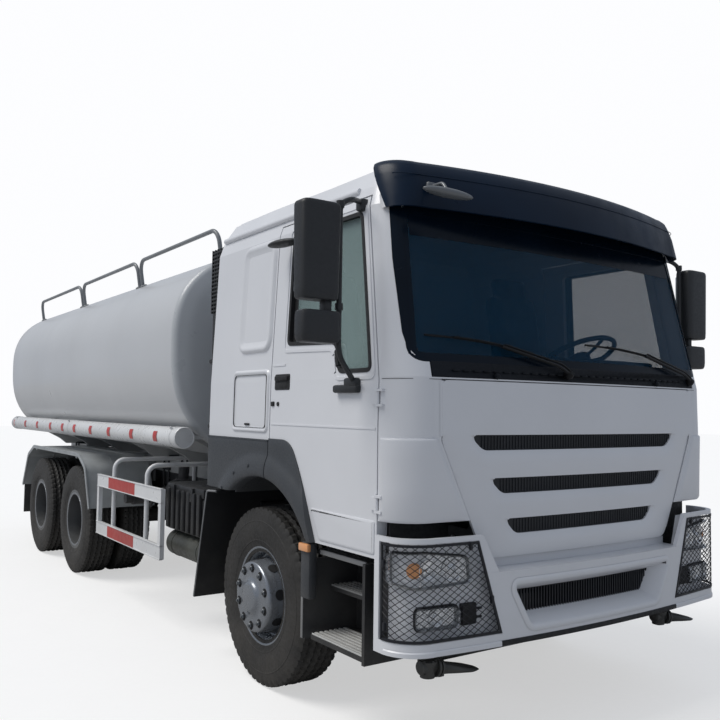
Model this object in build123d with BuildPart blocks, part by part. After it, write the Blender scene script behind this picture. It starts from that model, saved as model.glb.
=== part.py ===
from build123d import *
import math
import os

# A 6x4 water tanker truck, in millimetres. +X forward, +Y left, +Z up.
# The origin lies on the ground under the middle of the whole vehicle.
# Most sizes are taken from the front axle, which stands at FRONT_AXLE_X.

os.makedirs("parts", exist_ok=True)

# ---------------------------------------------------------------- driving dimensions
FRONT_AXLE_X = 2785
WHEELBASE = 3825
BOGIE_SPACING = 1350
SEAT_GAP = 0.3
MOVE_GAP = 8

# wheels
TYRE_RADIUS = 525
TYRE_WIDTH = 295
BEAD_RADIUS = 254
RIM_RADIUS = 290
RIM_WIDTH = 250
RIM_WALL = 14
FLANGE_WALL = 12
FRONT_RIM_FACE_Y = 1150
REAR_RIM_FACE_Y = 1197
TWIN_SPACING = 330
HUB_RADIUS = 100
NUT_FACE_RADIUS = 200
HAND_HOLES = 8
HAND_HOLE_RADIUS = 22
SPINDLE_RADIUS = 45
KINGPIN_Y = 800
KINGPIN_RADIUS = 24
KINGPIN_BOSS = 45
AXLE_BOSS_HALF = 65
YOKE_PLATE = 55

# chassis frame
FRAME_TOP = 1000
FRAME_HEIGHT = 300
FRAME_HALF_WIDTH = 430
FLANGE_DEPTH = 80
FRAME_PLATE = 8
FRAME_FRONT_X = 1050
FRAME_REAR_X = -7050
CROSS_DEPTH = 120
FRONT_BEAM_X = 1380
FRONT_BEAM_DEPTH = 80
FRONT_BEAM_HALF = 720
FRONT_BEAM_BOTTOM = 600
FRONT_BEAM_TOP = 740

# cab tilt pivot
PIVOT_X = 1330
PIVOT_Z = 1115
PIVOT_PIN_RADIUS = 20
PIVOT_BOSS = 42
HORN_Y = 390
HORN_WIDTH = 55
CAB_ARM_WIDTH = 60

# cab
CAB_REAR_X = -650
CAB_BOTTOM = 1122
CAB_WALL = 62
FLOOR_TOP = 1460
FLOOR_THICK = 60
TUNNEL_HALF = 440
TUNNEL_TOP = 1660
TUNNEL_FRONT_X = 1170
DOOR_REAR_X = 186
DOOR_FRONT_X = 1238
DOOR_FRONT_TOP_X = 1075
DOOR_BOTTOM = 942
DOOR_TOP = 2712
DOOR_GAP = 9
GLASS_THICK = 10
GLASS_INSET = 22
BELT_Z = 1790
COWL_TOP = 1880
SCREEN_TOP = 2650
SCREEN_BOTTOM = 1880
SCREEN_CORNER = 75
SCREEN_HALF_LOW = 1140
SCREEN_HALF_TOP = 1085
HINGE_Y = 1218
HINGE_PIN_RADIUS = 5
HINGE_BARREL = 9
HINGE_NOTCH = 14
HINGE_HALF = 30
HINGE_HEIGHTS = (1200, 1700)

# cab outline: height, half width, front x at the middle, front x at the corner, corner start x
CAB_SECTIONS = (
    # z, half_width, nose_x, corner_x, shoulder_y, side_end_x, rear_shift, sink
    (930, 1212, 1478, 1425, 1030, 1262, 0, 0),
    (1530, 1216, 1488, 1435, 1030, 1270, 0, 0),
    (1800, 1212, 1486, 1430, 1030, 1266, 0, 0),
    (2660, 1168, 1280, 1225, 1040, 1085, 0, 0),
    (2770, 1130, 1245, 1190, 1000, 1050, 0, 0.6),
    (2880, 1060, 1150, 1105, 930, 980, 25, 1),
    (2925, 920, 1010, 985, 800, 880, 120, 1),
)

# wheel arch in the cab side
ARCH_X = 90
ARCH_Z = 578
ARCH_RADIUS = 662
FLARE_BAND = 135
FLARE_OUT_Y = 1250
FLARE_IN_Y = 1142
LINER_X = 60
LINER_RADIUS = 700
LINER_IN_Y = 640
LINER_THICK = 12
ARCH_REAR_BOTTOM = 1128
ARCH_FRONT_BOTTOM = 948
CLAD_FACE_Y = 1224
CLAD_IN_Y = 1178

# front flap
FLAP_THICK = 26
FLAP_TOP = 1780
FLAP_TOP_GAP = 13
FLAP_RECESS_GAP = 16
FLAP_SHOULDER_Z = 1500
FLAP_SHOULDER_Y = 985
FLAP_LOWER_Y = 745
FLAP_LOWER_Z = 985
FLAP_BOTTOM = 932
FLAP_HINGE_X = 1470
FLAP_HINGE_Z = 1764
FLAP_PIN_RADIUS = 5
FLAP_LUG_Y = 300
FLAP_LUG_WIDTH = 30
FLAP_NOTCH_WIDTH = 60
FLAP_PIN_LENGTH = 84
COWL_BOTTOM = 1800
COWL_HALF = 1045

# bumper
BUMPER_FACE_X = 1565
BUMPER_CORNER_X = 1500
BUMPER_SHOULDER_Y = 1060
BUMPER_HALF_WIDTH = 1245
BUMPER_SIDE_X = 1330
BUMPER_REAR_X = 1264
BUMPER_WALL = 25
BUMPER_BOTTOM = 535
BUMPER_TOP = 1062
BUMPER_LEDGE_Z = 885

# water tank
TANK_FRONT_X = -1256
TANK_REAR_X = -6930
TANK_HALF_WIDTH = 1216
TANK_MID_Z = 2138
TANK_RISE = 781
TANK_DROP = 929
TANK_POWER_TOP = 2.6
TANK_POWER_LOW = 2.76
TANK_HEAD_DEPTH = 60
TANK_HEAD_SCALE = 0.93
TANK_ARCS = 4
MANHOLE_X = -4650
MANHOLE_RADIUS = 290
MANHOLE_NECK = 45
LID_THICK = 30


# ---------------------------------------------------------------- planes and small helpers
def side_view(y=0):
    """Plane with x forward and y up; its normal points to the right side."""
    return Plane(origin=(FRONT_AXLE_X, y, 0), x_dir=(1, 0, 0), z_dir=(0, -1, 0))


def front_view(x):
    """Plane across the vehicle, x to the left and y up; its normal points forward."""
    return Plane(origin=(FRONT_AXLE_X + x, 0, 0), x_dir=(0, 1, 0), z_dir=(1, 0, 0))


def top_view(z):
    """Level plane at height z, x forward from the front axle and y to the left."""
    return Plane(origin=(FRONT_AXLE_X, 0, z), x_dir=(1, 0, 0), z_dir=(0, 0, 1))


def point(x, y, z):
    """A place given from the front axle, in the frame of the whole vehicle."""
    return (FRONT_AXLE_X + x, y, z)


def block(x_from, x_to, y_from, y_to, z_from, z_to, mode=Mode.ADD):
    """A box between two corners given from the front axle."""
    middle = point((x_from + x_to) / 2, (y_from + y_to) / 2, (z_from + z_to) / 2)
    with Locations(middle):
        Box(abs(x_to - x_from), abs(y_to - y_from), abs(z_to - z_from), mode=mode)


def rod(start, end, radius, mode=Mode.ADD):
    """A round bar between two places given from the front axle."""
    from_point = Vector(*point(*start))
    along = Vector(*point(*end)) - from_point
    with Locations(Plane(origin=from_point, z_dir=along)):
        Cylinder(radius, along.length, align=(Align.CENTER, Align.CENTER, Align.MIN), mode=mode)


def bent_tube(places, bend, radius):
    """A round tube along straight runs joined by tangent arcs."""
    with BuildLine() as run:
        FilletPolyline(*[point(*place) for place in places], radius=bend)
    with BuildSketch(Plane(origin=run.line @ 0, z_dir=run.line % 0)) as section:
        Circle(radius)
    sweep(sections=section.sketch, path=run.line)


def side_plate(outline, y_from, y_to, mode=Mode.ADD):
    """A plate cut to an outline seen from the side, between two values of y."""
    with BuildSketch(side_view(max(y_from, y_to))) as section:
        with BuildLine():
            Polyline(*outline, close=True)
        make_face()
    extrude(section.sketch, amount=abs(y_to - y_from), mode=mode)


def front_plate(outline, x_from, x_to, mode=Mode.ADD):
    """A plate cut to an outline seen from the front, between two values of x."""
    with BuildSketch(front_view(min(x_from, x_to))) as section:
        with BuildLine():
            Polyline(*outline, close=True)
        make_face()
    extrude(section.sketch, amount=abs(x_to - x_from), mode=mode)


def wheel_plane(x, side):
    """Plane through a wheel's axis: x outwards from the middle, y up from the axle."""
    return Plane(origin=point(x, 0, TYRE_RADIUS), x_dir=(0, side, 0), z_dir=(side, 0, 0))


def wheel_axis(x):
    return Axis(point(x, 0, TYRE_RADIUS), (0, 1, 0))


def save(builder, name):
    builder.part.label = name
    export_step(builder.part, f"parts/{name}.step")


SIDES = (("right", -1), ("left", 1))
MID_AXLE_X = -WHEELBASE
REAR_AXLE_X = -WHEELBASE - BOGIE_SPACING
FRAME_BOTTOM = FRAME_TOP - FRAME_HEIGHT
FRAME_INNER_Y = FRAME_HALF_WIDTH - FLANGE_DEPTH
WEB_INNER_Y = FRAME_HALF_WIDTH - FRAME_PLATE


# ---------------------------------------------------------------- wheels
def tyre_profile(middle_y):
    """Closed half section of one tyre, drawn in a wheel plane."""
    half = TYRE_WIDTH / 2
    seat = RIM_WIDTH / 2 - FLANGE_WALL
    shoulder = half - 16
    tread = half - 28
    widest = (BEAD_RADIUS + TYRE_RADIUS) / 2 - 8
    with BuildLine() as section:
        Line((middle_y - seat, BEAD_RADIUS), (middle_y - seat, RIM_RADIUS + 2))
        ThreePointArc(
            (middle_y - seat, RIM_RADIUS + 2),
            (middle_y - half, widest),
            (middle_y - shoulder, TYRE_RADIUS - 26),
        )
        Line((middle_y - shoulder, TYRE_RADIUS - 26), (middle_y - tread, TYRE_RADIUS - 5))
        ThreePointArc(
            (middle_y - tread, TYRE_RADIUS - 5),
            (middle_y, TYRE_RADIUS),
            (middle_y + tread, TYRE_RADIUS - 5),
        )
        Line((middle_y + tread, TYRE_RADIUS - 5), (middle_y + shoulder, TYRE_RADIUS - 26))
        ThreePointArc(
            (middle_y + shoulder, TYRE_RADIUS - 26),
            (middle_y + half, widest),
            (middle_y + seat, RIM_RADIUS + 2),
        )
        Line((middle_y + seat, RIM_RADIUS + 2), (middle_y + seat, BEAD_RADIUS))
        Line((middle_y + seat, BEAD_RADIUS), (middle_y - seat, BEAD_RADIUS))
    make_face(section.line)


FRONT_TYRE_Y = FRONT_RIM_FACE_Y - RIM_WIDTH / 2
OUTER_TYRE_Y = REAR_RIM_FACE_Y - RIM_WIDTH / 2
INNER_TYRE_Y = OUTER_TYRE_Y - TWIN_SPACING
BARREL_RADIUS = BEAD_RADIUS - RIM_WALL
NUT_FACE_Y = FRONT_RIM_FACE_Y + 65
SPINDLE_END_Y = NUT_FACE_Y - 110
TWIN_FACE_Y = (OUTER_TYRE_Y + INNER_TYRE_Y) / 2 + 20
REAR_SPINDLE_END_Y = TWIN_FACE_Y - 25
REAR_SPINDLE_RADIUS = SPINDLE_RADIUS + 10


def front_rim_outline():
    """Barrel, dished disc, hub and brake drum of a steered wheel."""
    face = FRONT_RIM_FACE_Y
    back = FRONT_RIM_FACE_Y - RIM_WIDTH
    bore = SPINDLE_RADIUS + SEAT_GAP
    return (
        (back, RIM_RADIUS),
        (back + FLANGE_WALL, RIM_RADIUS),
        (back + FLANGE_WALL, BEAD_RADIUS),
        (face - FLANGE_WALL, BEAD_RADIUS),
        (face - FLANGE_WALL, RIM_RADIUS),
        (face, RIM_RADIUS),
        (face, BARREL_RADIUS),
        (face - 32, BARREL_RADIUS),
        (NUT_FACE_Y - 12, NUT_FACE_RADIUS + 6),
        (NUT_FACE_Y, NUT_FACE_RADIUS - 2),
        (NUT_FACE_Y, HUB_RADIUS - 30),
        (NUT_FACE_Y + 25, HUB_RADIUS - 40),
        (NUT_FACE_Y + 25, 0),
        (SPINDLE_END_Y + 5, 0),
        (SPINDLE_END_Y + 5, bore),
        (back + 35, bore),
        (back + 35, HUB_RADIUS),
        (face - 105, HUB_RADIUS),
        (face - 105, HUB_RADIUS + 95),
        (back + 15, HUB_RADIUS + 95),
        (back + 15, HUB_RADIUS + 110),
        (face - 90, HUB_RADIUS + 110),
        (face - 90, HUB_RADIUS),
        (NUT_FACE_Y - 14, HUB_RADIUS),
        (NUT_FACE_Y - 14, NUT_FACE_RADIUS - 6),
        (NUT_FACE_Y - 23, NUT_FACE_RADIUS - 1),
        (face - 52, BARREL_RADIUS),
        (back, BARREL_RADIUS),
    )


def twin_rim_outline():
    """Two rims bolted back to back, with the hub, half shaft end and brake drum."""
    out_face = REAR_RIM_FACE_Y
    out_back = out_face - RIM_WIDTH
    in_face = out_face - TWIN_SPACING
    in_back = in_face - RIM_WIDTH
    nut = TWIN_FACE_Y
    bore = REAR_SPINDLE_RADIUS + SEAT_GAP
    return (
        (in_back, RIM_RADIUS),
        (in_back + FLANGE_WALL, RIM_RADIUS),
        (in_back + FLANGE_WALL, BEAD_RADIUS),
        (in_face - FLANGE_WALL, BEAD_RADIUS),
        (in_face - FLANGE_WALL, RIM_RADIUS),
        (in_face, RIM_RADIUS),
        (in_face, BARREL_RADIUS),
        (in_face - 60, BARREL_RADIUS),
        (nut - 24, NUT_FACE_RADIUS + 3),
        (nut - 12, NUT_FACE_RADIUS + 3),
        (out_back + 62, BARREL_RADIUS),
        (out_back, BARREL_RADIUS),
        (out_back, RIM_RADIUS),
        (out_back + FLANGE_WALL, RIM_RADIUS),
        (out_back + FLANGE_WALL, BEAD_RADIUS),
        (out_face - FLANGE_WALL, BEAD_RADIUS),
        (out_face - FLANGE_WALL, RIM_RADIUS),
        (out_face, RIM_RADIUS),
        (out_face, BARREL_RADIUS),
        (out_back + 80, BARREL_RADIUS),
        (nut + 4, NUT_FACE_RADIUS),
        (nut, NUT_FACE_RADIUS - 5),
        (nut, HUB_RADIUS + 10),
        (nut + 150, HUB_RADIUS),
        (nut + 170, HUB_RADIUS - 20),
        (nut + 170, 0),
        (REAR_SPINDLE_END_Y + 5, 0),
        (REAR_SPINDLE_END_Y + 5, bore),
        (in_back + 23, bore),
        (in_back + 23, HUB_RADIUS),
        (in_face - 25, HUB_RADIUS),
        (in_face - 25, HUB_RADIUS + 85),
        (in_back + 33, HUB_RADIUS + 85),
        (in_back + 33, HUB_RADIUS + 98),
        (in_face - 10, HUB_RADIUS + 98),
        (in_face - 10, HUB_RADIUS),
        (nut - 36, HUB_RADIUS),
        (nut - 36, NUT_FACE_RADIUS - 2),
        (in_face - 80, BARREL_RADIUS),
        (in_back, BARREL_RADIUS),
    )


def make_wheel(name, x, side, outline, tyre_places, hole_from, hole_to):
    """One wheel position: a tyre node and a rim node that turn together."""
    with BuildPart() as tyre:
        with BuildSketch(wheel_plane(x, side)):
            for middle_y in tyre_places:
                tyre_profile(middle_y)
        revolve(axis=wheel_axis(x))
    save(tyre, f"{name}_tyre")
    with BuildPart() as rim:
        with BuildSketch(wheel_plane(x, side)):
            with BuildLine():
                Polyline(*outline, close=True)
            make_face()
        revolve(axis=wheel_axis(x))
        hole_plane = Plane(origin=point(x, side * hole_from, TYRE_RADIUS), z_dir=(0, side, 0))
        with BuildSketch(hole_plane):
            with PolarLocations((NUT_FACE_RADIUS + BARREL_RADIUS) / 2 - 4, HAND_HOLES):
                Circle(HAND_HOLE_RADIUS)
        extrude(amount=hole_to - hole_from, mode=Mode.SUBTRACT)
    save(rim, f"{name}_rim")


for side_name, side in SIDES:
    make_wheel(f"front_{side_name}", 0, side, front_rim_outline(), (FRONT_TYRE_Y,),
               FRONT_RIM_FACE_Y - 60, NUT_FACE_Y + 40)
    for axle_name, axle_x in (("mid", MID_AXLE_X), ("rear", REAR_AXLE_X)):
        make_wheel(f"{axle_name}_{side_name}", axle_x, side, twin_rim_outline(),
                   (INNER_TYRE_Y, OUTER_TYRE_Y), TWIN_FACE_Y - 4, REAR_RIM_FACE_Y)

# ---------------------------------------------------------------- axles and knuckles
BEAM_HALF_DEPTH = 45
SPRING_Y = 410
SPRING_HALF_WIDTH = 40
AXLE_PAD_Z = TYRE_RADIUS + 20

with BuildPart() as front_axle:
    beam_outline = (
        (0, TYRE_RADIUS - 140),
        (SPRING_Y + 90, TYRE_RADIUS - 120),
        (KINGPIN_Y - KINGPIN_BOSS - 10, TYRE_RADIUS - AXLE_BOSS_HALF),
        (KINGPIN_Y, TYRE_RADIUS - AXLE_BOSS_HALF),
        (KINGPIN_Y, TYRE_RADIUS + AXLE_BOSS_HALF),
        (SPRING_Y + 140, TYRE_RADIUS + 10),
        (SPRING_Y + 70, AXLE_PAD_Z),
        (SPRING_Y - 90, AXLE_PAD_Z),
        (SPRING_Y - 140, TYRE_RADIUS - 20),
        (0, TYRE_RADIUS - 20),
    )
    for _, side in SIDES:
        front_plate([(side * y, z) for y, z in beam_outline], -BEAM_HALF_DEPTH, BEAM_HALF_DEPTH)
        for low, high, radius in (
            (-AXLE_BOSS_HALF, AXLE_BOSS_HALF, KINGPIN_BOSS),
            (-AXLE_BOSS_HALF - YOKE_PLATE, AXLE_BOSS_HALF + YOKE_PLATE, KINGPIN_RADIUS),
        ):
            rod((0, side * KINGPIN_Y, TYRE_RADIUS + low),
                (0, side * KINGPIN_Y, TYRE_RADIUS + high), radius)
save(front_axle, "front_axle")

KNUCKLE_WEB_Y = KINGPIN_Y + KINGPIN_BOSS + 10
KNUCKLE_WEB = 35
for side_name, side in SIDES:
    with BuildPart() as knuckle:
        web_outer_y = KNUCKLE_WEB_Y + KNUCKLE_WEB
        yoke_low = AXLE_BOSS_HALF + SEAT_GAP
        yoke_high = AXLE_BOSS_HALF + YOKE_PLATE
        block(-KINGPIN_BOSS, KINGPIN_BOSS, side * KNUCKLE_WEB_Y, side * web_outer_y,
              TYRE_RADIUS - yoke_high, TYRE_RADIUS + yoke_high)
        for sign in (-1, 1):
            low = TYRE_RADIUS + sign * yoke_low
            high = TYRE_RADIUS + sign * yoke_high
            rod((0, side * KINGPIN_Y, low), (0, side * KINGPIN_Y, high), KINGPIN_BOSS)
            block(-KINGPIN_BOSS, KINGPIN_BOSS, side * KINGPIN_Y, side * web_outer_y, low, high)
        rod((0, side * web_outer_y, TYRE_RADIUS), (0, side * SPINDLE_END_Y, TYRE_RADIUS),
            SPINDLE_RADIUS)
        rod((0, side * KINGPIN_Y, TYRE_RADIUS - 2 * yoke_high),
            (0, side * KINGPIN_Y, TYRE_RADIUS + 2 * yoke_high),
            KINGPIN_RADIUS + SEAT_GAP, Mode.SUBTRACT)
    save(knuckle, f"knuckle_{side_name}")

AXLE_TUBE_RADIUS = 75
DIFF_RADIUS = 185
DIFF_LENGTH = 330
REAR_TUBE_END_Y = INNER_TYRE_Y - RIM_WIDTH / 2 - 15
GEARBOX_REAR_X = -1300
SHAFT_RADIUS = 50
SHAFT_Z = 760
with BuildPart() as drive_axles:
    for axle_x in (MID_AXLE_X, REAR_AXLE_X):
        rod((axle_x, -REAR_TUBE_END_Y, TYRE_RADIUS), (axle_x, REAR_TUBE_END_Y, TYRE_RADIUS),
            AXLE_TUBE_RADIUS)
        rod((axle_x, -REAR_SPINDLE_END_Y, TYRE_RADIUS), (axle_x, REAR_SPINDLE_END_Y, TYRE_RADIUS),
            REAR_SPINDLE_RADIUS)
        with Locations(point(axle_x, 0, TYRE_RADIUS)):
            Sphere(DIFF_RADIUS)
        rod((axle_x, 0, TYRE_RADIUS + 60), (axle_x + DIFF_LENGTH, 0, TYRE_RADIUS + 60),
            DIFF_RADIUS / 2)
save(drive_axles, "drive_axles")

SHAFT_DROP_Z = TYRE_RADIUS + 60
SHAFT_SLOPE = (SHAFT_Z - SHAFT_DROP_Z) / (GEARBOX_REAR_X - MID_AXLE_X - DIFF_LENGTH)
SHAFT_END_GAP = SHAFT_RADIUS * SHAFT_SLOPE + SEAT_GAP
with BuildPart() as prop_shafts:
    rod((GEARBOX_REAR_X - SHAFT_END_GAP, 0, SHAFT_Z),
        (MID_AXLE_X + DIFF_LENGTH + SHAFT_END_GAP, 0, SHAFT_DROP_Z), SHAFT_RADIUS)
    rod((MID_AXLE_X, 0, SHAFT_DROP_Z), (REAR_AXLE_X + DIFF_LENGTH, 0, SHAFT_DROP_Z), SHAFT_RADIUS)
    with Locations(point(MID_AXLE_X, 0, TYRE_RADIUS)):
        Sphere(DIFF_RADIUS, mode=Mode.SUBTRACT)
save(prop_shafts, "prop_shafts")

# springs: arched leaf stacks with their brackets under the frame
FRONT_SPRING_REACH = 740
SPRING_THICK = 55
BOGIE_X = (MID_AXLE_X + REAR_AXLE_X) / 2
REAR_SPRING_Y = FRAME_HALF_WIDTH + 62
REAR_SPRING_HALF = 45
REAR_SPRING_SEAT_Z = TYRE_RADIUS + AXLE_TUBE_RADIUS
REAR_SPRING_CROWN_Z = REAR_SPRING_SEAT_Z + 150


def leaf_stack(ends_x, end_z, middle_z, thick, y_middle, y_half):
    """An arched bar of constant depth: two arcs between its two ends."""
    start_x, end_x = ends_x
    middle_x = (start_x + end_x) / 2
    with BuildSketch(side_view(y_middle + y_half)) as section:
        with BuildLine():
            ThreePointArc((start_x, end_z), (middle_x, middle_z), (end_x, end_z))
            Line((end_x, end_z), (end_x, end_z + thick))
            ThreePointArc((end_x, end_z + thick), (middle_x, middle_z + thick),
                          (start_x, end_z + thick))
            Line((start_x, end_z + thick), (start_x, end_z))
        make_face()
    extrude(section.sketch, amount=2 * y_half)


with BuildPart() as leaf_springs:
    for _, side in SIDES:
        leaf_stack((-FRONT_SPRING_REACH, FRONT_SPRING_REACH), FRAME_BOTTOM - SPRING_THICK - 20,
                   AXLE_PAD_Z, SPRING_THICK, side * SPRING_Y, SPRING_HALF_WIDTH)
        for x in (-FRONT_SPRING_REACH + 40, FRONT_SPRING_REACH - 40):
            block(x - 40, x + 40, side * SPRING_Y - SPRING_HALF_WIDTH,
                  side * SPRING_Y + SPRING_HALF_WIDTH, FRAME_BOTTOM - 40, FRAME_BOTTOM)
        leaf_stack((REAR_AXLE_X - 60, MID_AXLE_X + 60), REAR_SPRING_SEAT_Z, REAR_SPRING_CROWN_Z,
                   SPRING_THICK + 15, side * REAR_SPRING_Y, REAR_SPRING_HALF)
        block(BOGIE_X - 110, BOGIE_X + 110, side * FRAME_HALF_WIDTH,
              side * (REAR_SPRING_Y + REAR_SPRING_HALF), FRAME_BOTTOM + 60, FRAME_BOTTOM + 240)
save(leaf_springs, "leaf_springs")

# ---------------------------------------------------------------- frame
HORN_BASE_X = 960
CROSS_MEMBERS = (-1500, -2650, BOGIE_X, -6100, FRAME_REAR_X + CROSS_DEPTH)
CAB_REST_X = CAB_REAR_X + 40
CAB_REST_DEPTH = 70
FLOOR_BOTTOM = FLOOR_TOP - FLOOR_THICK

with BuildPart() as chassis_frame:
    for _, side in SIDES:
        block(FRAME_REAR_X, FRAME_FRONT_X, side * FRAME_INNER_Y, side * FRAME_HALF_WIDTH,
              FRAME_BOTTOM, FRAME_TOP)
        block(FRAME_REAR_X, FRAME_FRONT_X, side * FRAME_INNER_Y, side * WEB_INNER_Y,
              FRAME_BOTTOM + FRAME_PLATE, FRAME_TOP - FRAME_PLATE, Mode.SUBTRACT)
    for x in CROSS_MEMBERS:
        block(x - CROSS_DEPTH, x, -WEB_INNER_Y, WEB_INNER_Y,
              SHAFT_Z + SHAFT_RADIUS + 20, FRAME_TOP - FRAME_PLATE)
    horn = (
        (HORN_BASE_X, FRAME_BOTTOM + 60),
        (FRAME_FRONT_X + 20, FRAME_BOTTOM + 60),
        (PIVOT_X - 10, PIVOT_Z - PIVOT_BOSS + 4),
        (PIVOT_X - 10, PIVOT_Z + PIVOT_BOSS - 4),
        (FRAME_FRONT_X - 30, FRAME_TOP),
        (HORN_BASE_X, FRAME_TOP),
    )
    carrier = (
        (HORN_BASE_X, FRAME_BOTTOM + 10),
        (HORN_BASE_X, FRAME_BOTTOM + 120),
        (FRAME_FRONT_X + 20, FRAME_BOTTOM + 120),
        (FRONT_BEAM_X, FRONT_BEAM_TOP),
        (FRONT_BEAM_X, FRONT_BEAM_BOTTOM),
        (FRAME_FRONT_X, FRAME_BOTTOM - 20),
    )
    for _, side in SIDES:
        horn_near = side * HORN_Y
        horn_far = side * (HORN_Y + HORN_WIDTH)
        side_plate(horn, horn_near, horn_far)
        rod((PIVOT_X, horn_near, PIVOT_Z), (PIVOT_X, horn_far, PIVOT_Z), PIVOT_BOSS)
        rod((PIVOT_X, horn_near, PIVOT_Z), (PIVOT_X, side * (HORN_Y + HORN_WIDTH + CAB_ARM_WIDTH + 20),
            PIVOT_Z), PIVOT_PIN_RADIUS)
        side_plate(carrier, horn_near, horn_far)
        rest_y = side * (FRAME_HALF_WIDTH + 30)
        block(CAB_REST_X, CAB_REST_X + CAB_REST_DEPTH, side * FRAME_HALF_WIDTH, rest_y,
              FRAME_BOTTOM + 100, FLOOR_BOTTOM - SEAT_GAP)
        block(CAB_REST_X, CAB_REST_X + CAB_REST_DEPTH, rest_y, side * (FRAME_HALF_WIDTH + 200),
              FLOOR_BOTTOM - 70, FLOOR_BOTTOM - SEAT_GAP)
    block(FRONT_BEAM_X, FRONT_BEAM_X + FRONT_BEAM_DEPTH, -FRONT_BEAM_HALF, FRONT_BEAM_HALF,
          FRONT_BEAM_BOTTOM, FRONT_BEAM_TOP)
save(chassis_frame, "chassis_frame")

# ---------------------------------------------------------------- engine
ENGINE_HALF = 330
ENGINE_FRONT_X = 840
ENGINE_REAR_X = -350
ENGINE_BOTTOM = 640
ENGINE_TOP = 1390
GEARBOX_HALF = 220
GEARBOX_TOP = 1050
RADIATOR_X = 960
RADIATOR_THICK = 85
RADIATOR_TOP = 1420

with BuildPart() as engine:
    block(ENGINE_REAR_X, ENGINE_FRONT_X, -ENGINE_HALF, ENGINE_HALF, ENGINE_BOTTOM, ENGINE_TOP)
    block(GEARBOX_REAR_X, ENGINE_REAR_X, -GEARBOX_HALF, GEARBOX_HALF, ENGINE_BOTTOM, GEARBOX_TOP)
    for x in (ENGINE_REAR_X + 60, ENGINE_FRONT_X - 160):
        for _, side in SIDES:
            block(x, x + 100, side * ENGINE_HALF, side * WEB_INNER_Y,
                  FRAME_BOTTOM + 100, FRAME_BOTTOM + 180)
save(engine, "engine")

with BuildPart() as radiator:
    block(RADIATOR_X, RADIATOR_X + RADIATOR_THICK, -FRAME_INNER_Y, FRAME_INNER_Y,
          FRAME_BOTTOM - 20, RADIATOR_TOP)
save(radiator, "radiator")

# ---------------------------------------------------------------- cab
def cab_form(inset, bottom=None):
    """The cab's whole outer form, shrunk by inset on every side but the bottom."""
    with BuildPart() as form:
        for z, half_width, nose_x, corner_x, shoulder_y, side_end_x, rear_shift, sink in CAB_SECTIONS:
            level = z - sink * inset
            if bottom is not None and z == CAB_SECTIONS[0][0]:
                level = bottom
            half = half_width - inset
            shoulder = shoulder_y - inset / 2
            side_end = side_end_x - inset / 2
            corner = corner_x - inset
            rear = CAB_REAR_X + rear_shift + inset
            bend_x = side_end + (corner - side_end) * math.sqrt(0.5)
            bend_y = shoulder + (half - shoulder) * math.sqrt(0.5)
            with BuildSketch(top_view(level)):
                with BuildLine():
                    Line((rear, -half), (side_end, -half))
                    ThreePointArc((side_end, -half), (bend_x, -bend_y), (corner, -shoulder))
                    ThreePointArc((corner, -shoulder), (nose_x - inset, 0), (corner, shoulder))
                    ThreePointArc((corner, shoulder), (bend_x, bend_y), (side_end, half))
                    Line((side_end, half), (rear, half))
                    Line((rear, half), (rear, -half))
                make_face()
        loft(ruled=True)
    return form.part


def layer(outer_inset, inner_inset, outline_plane, outline, reach, corner=0):
    """The part of the cab's skin between two insets that lies inside a drawn outline."""
    outer_form = cab_form(outer_inset)
    inner_form = cab_form(inner_inset, CAB_SECTIONS[0][0] - 60)
    with BuildPart() as piece:
        with BuildSketch(outline_plane):
            with BuildLine():
                if corner:
                    FilletPolyline(*outline, radius=corner, close=True)
                else:
                    Polyline(*outline, close=True)
            make_face()
        extrude(amount=reach)
        add(outer_form, mode=Mode.INTERSECT)
        add(inner_form, mode=Mode.SUBTRACT)
    return piece.part


DOOR_OUTLINE = (
    (DOOR_REAR_X, DOOR_TOP),
    (DOOR_FRONT_TOP_X, DOOR_TOP),
    (DOOR_FRONT_X, BELT_Z),
    (DOOR_FRONT_X, DOOR_BOTTOM),
    (690, DOOR_BOTTOM),
    (545, 1265),
    (460, 1400),
    (370, FLOOR_TOP + 2),
    (DOOR_REAR_X, FLOOR_TOP + 2),
)
OPENING_OUTLINE = (
    (DOOR_REAR_X - DOOR_GAP, DOOR_TOP + DOOR_GAP),
    (DOOR_FRONT_TOP_X + DOOR_GAP, DOOR_TOP + DOOR_GAP),
    (DOOR_FRONT_X + DOOR_GAP, BELT_Z),
    (DOOR_FRONT_X + DOOR_GAP, CAB_BOTTOM - 250),
    (DOOR_REAR_X - DOOR_GAP, CAB_BOTTOM - 250),
)
WINDOW_OUTLINE = (
    (352, 2640),
    (1030, 2640),
    (1176, 1830),
    (890, 1830),
    (850, 1985),
    (352, 2003),
)
SCREEN_OUTLINE = (
    (-SCREEN_HALF_LOW, SCREEN_BOTTOM),
    (SCREEN_HALF_LOW, SCREEN_BOTTOM),
    (SCREEN_HALF_TOP, SCREEN_TOP),
    (-SCREEN_HALF_TOP, SCREEN_TOP),
)
COWL_OUTLINE = (
    (-COWL_HALF, COWL_BOTTOM),
    (COWL_HALF, COWL_BOTTOM),
    (COWL_HALF, COWL_TOP),
    (-COWL_HALF, COWL_TOP),
)


def flap_outline(grow, grow_top):
    """The front flap seen from the front, grown by a gap at the sides and one at the top."""
    return (
        (-FLAP_SHOULDER_Y - grow, FLAP_TOP + grow_top),
        (FLAP_SHOULDER_Y + grow, FLAP_TOP + grow_top),
        (FLAP_SHOULDER_Y + grow, FLAP_SHOULDER_Z),
        (FLAP_LOWER_Y + grow, FLAP_LOWER_Z),
        (FLAP_LOWER_Y - 45 + grow, FLAP_BOTTOM - grow),
        (-FLAP_LOWER_Y + 45 - grow, FLAP_BOTTOM - grow),
        (-FLAP_LOWER_Y - grow, FLAP_LOWER_Z),
        (-FLAP_SHOULDER_Y - grow, FLAP_SHOULDER_Z),
    )


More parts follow.
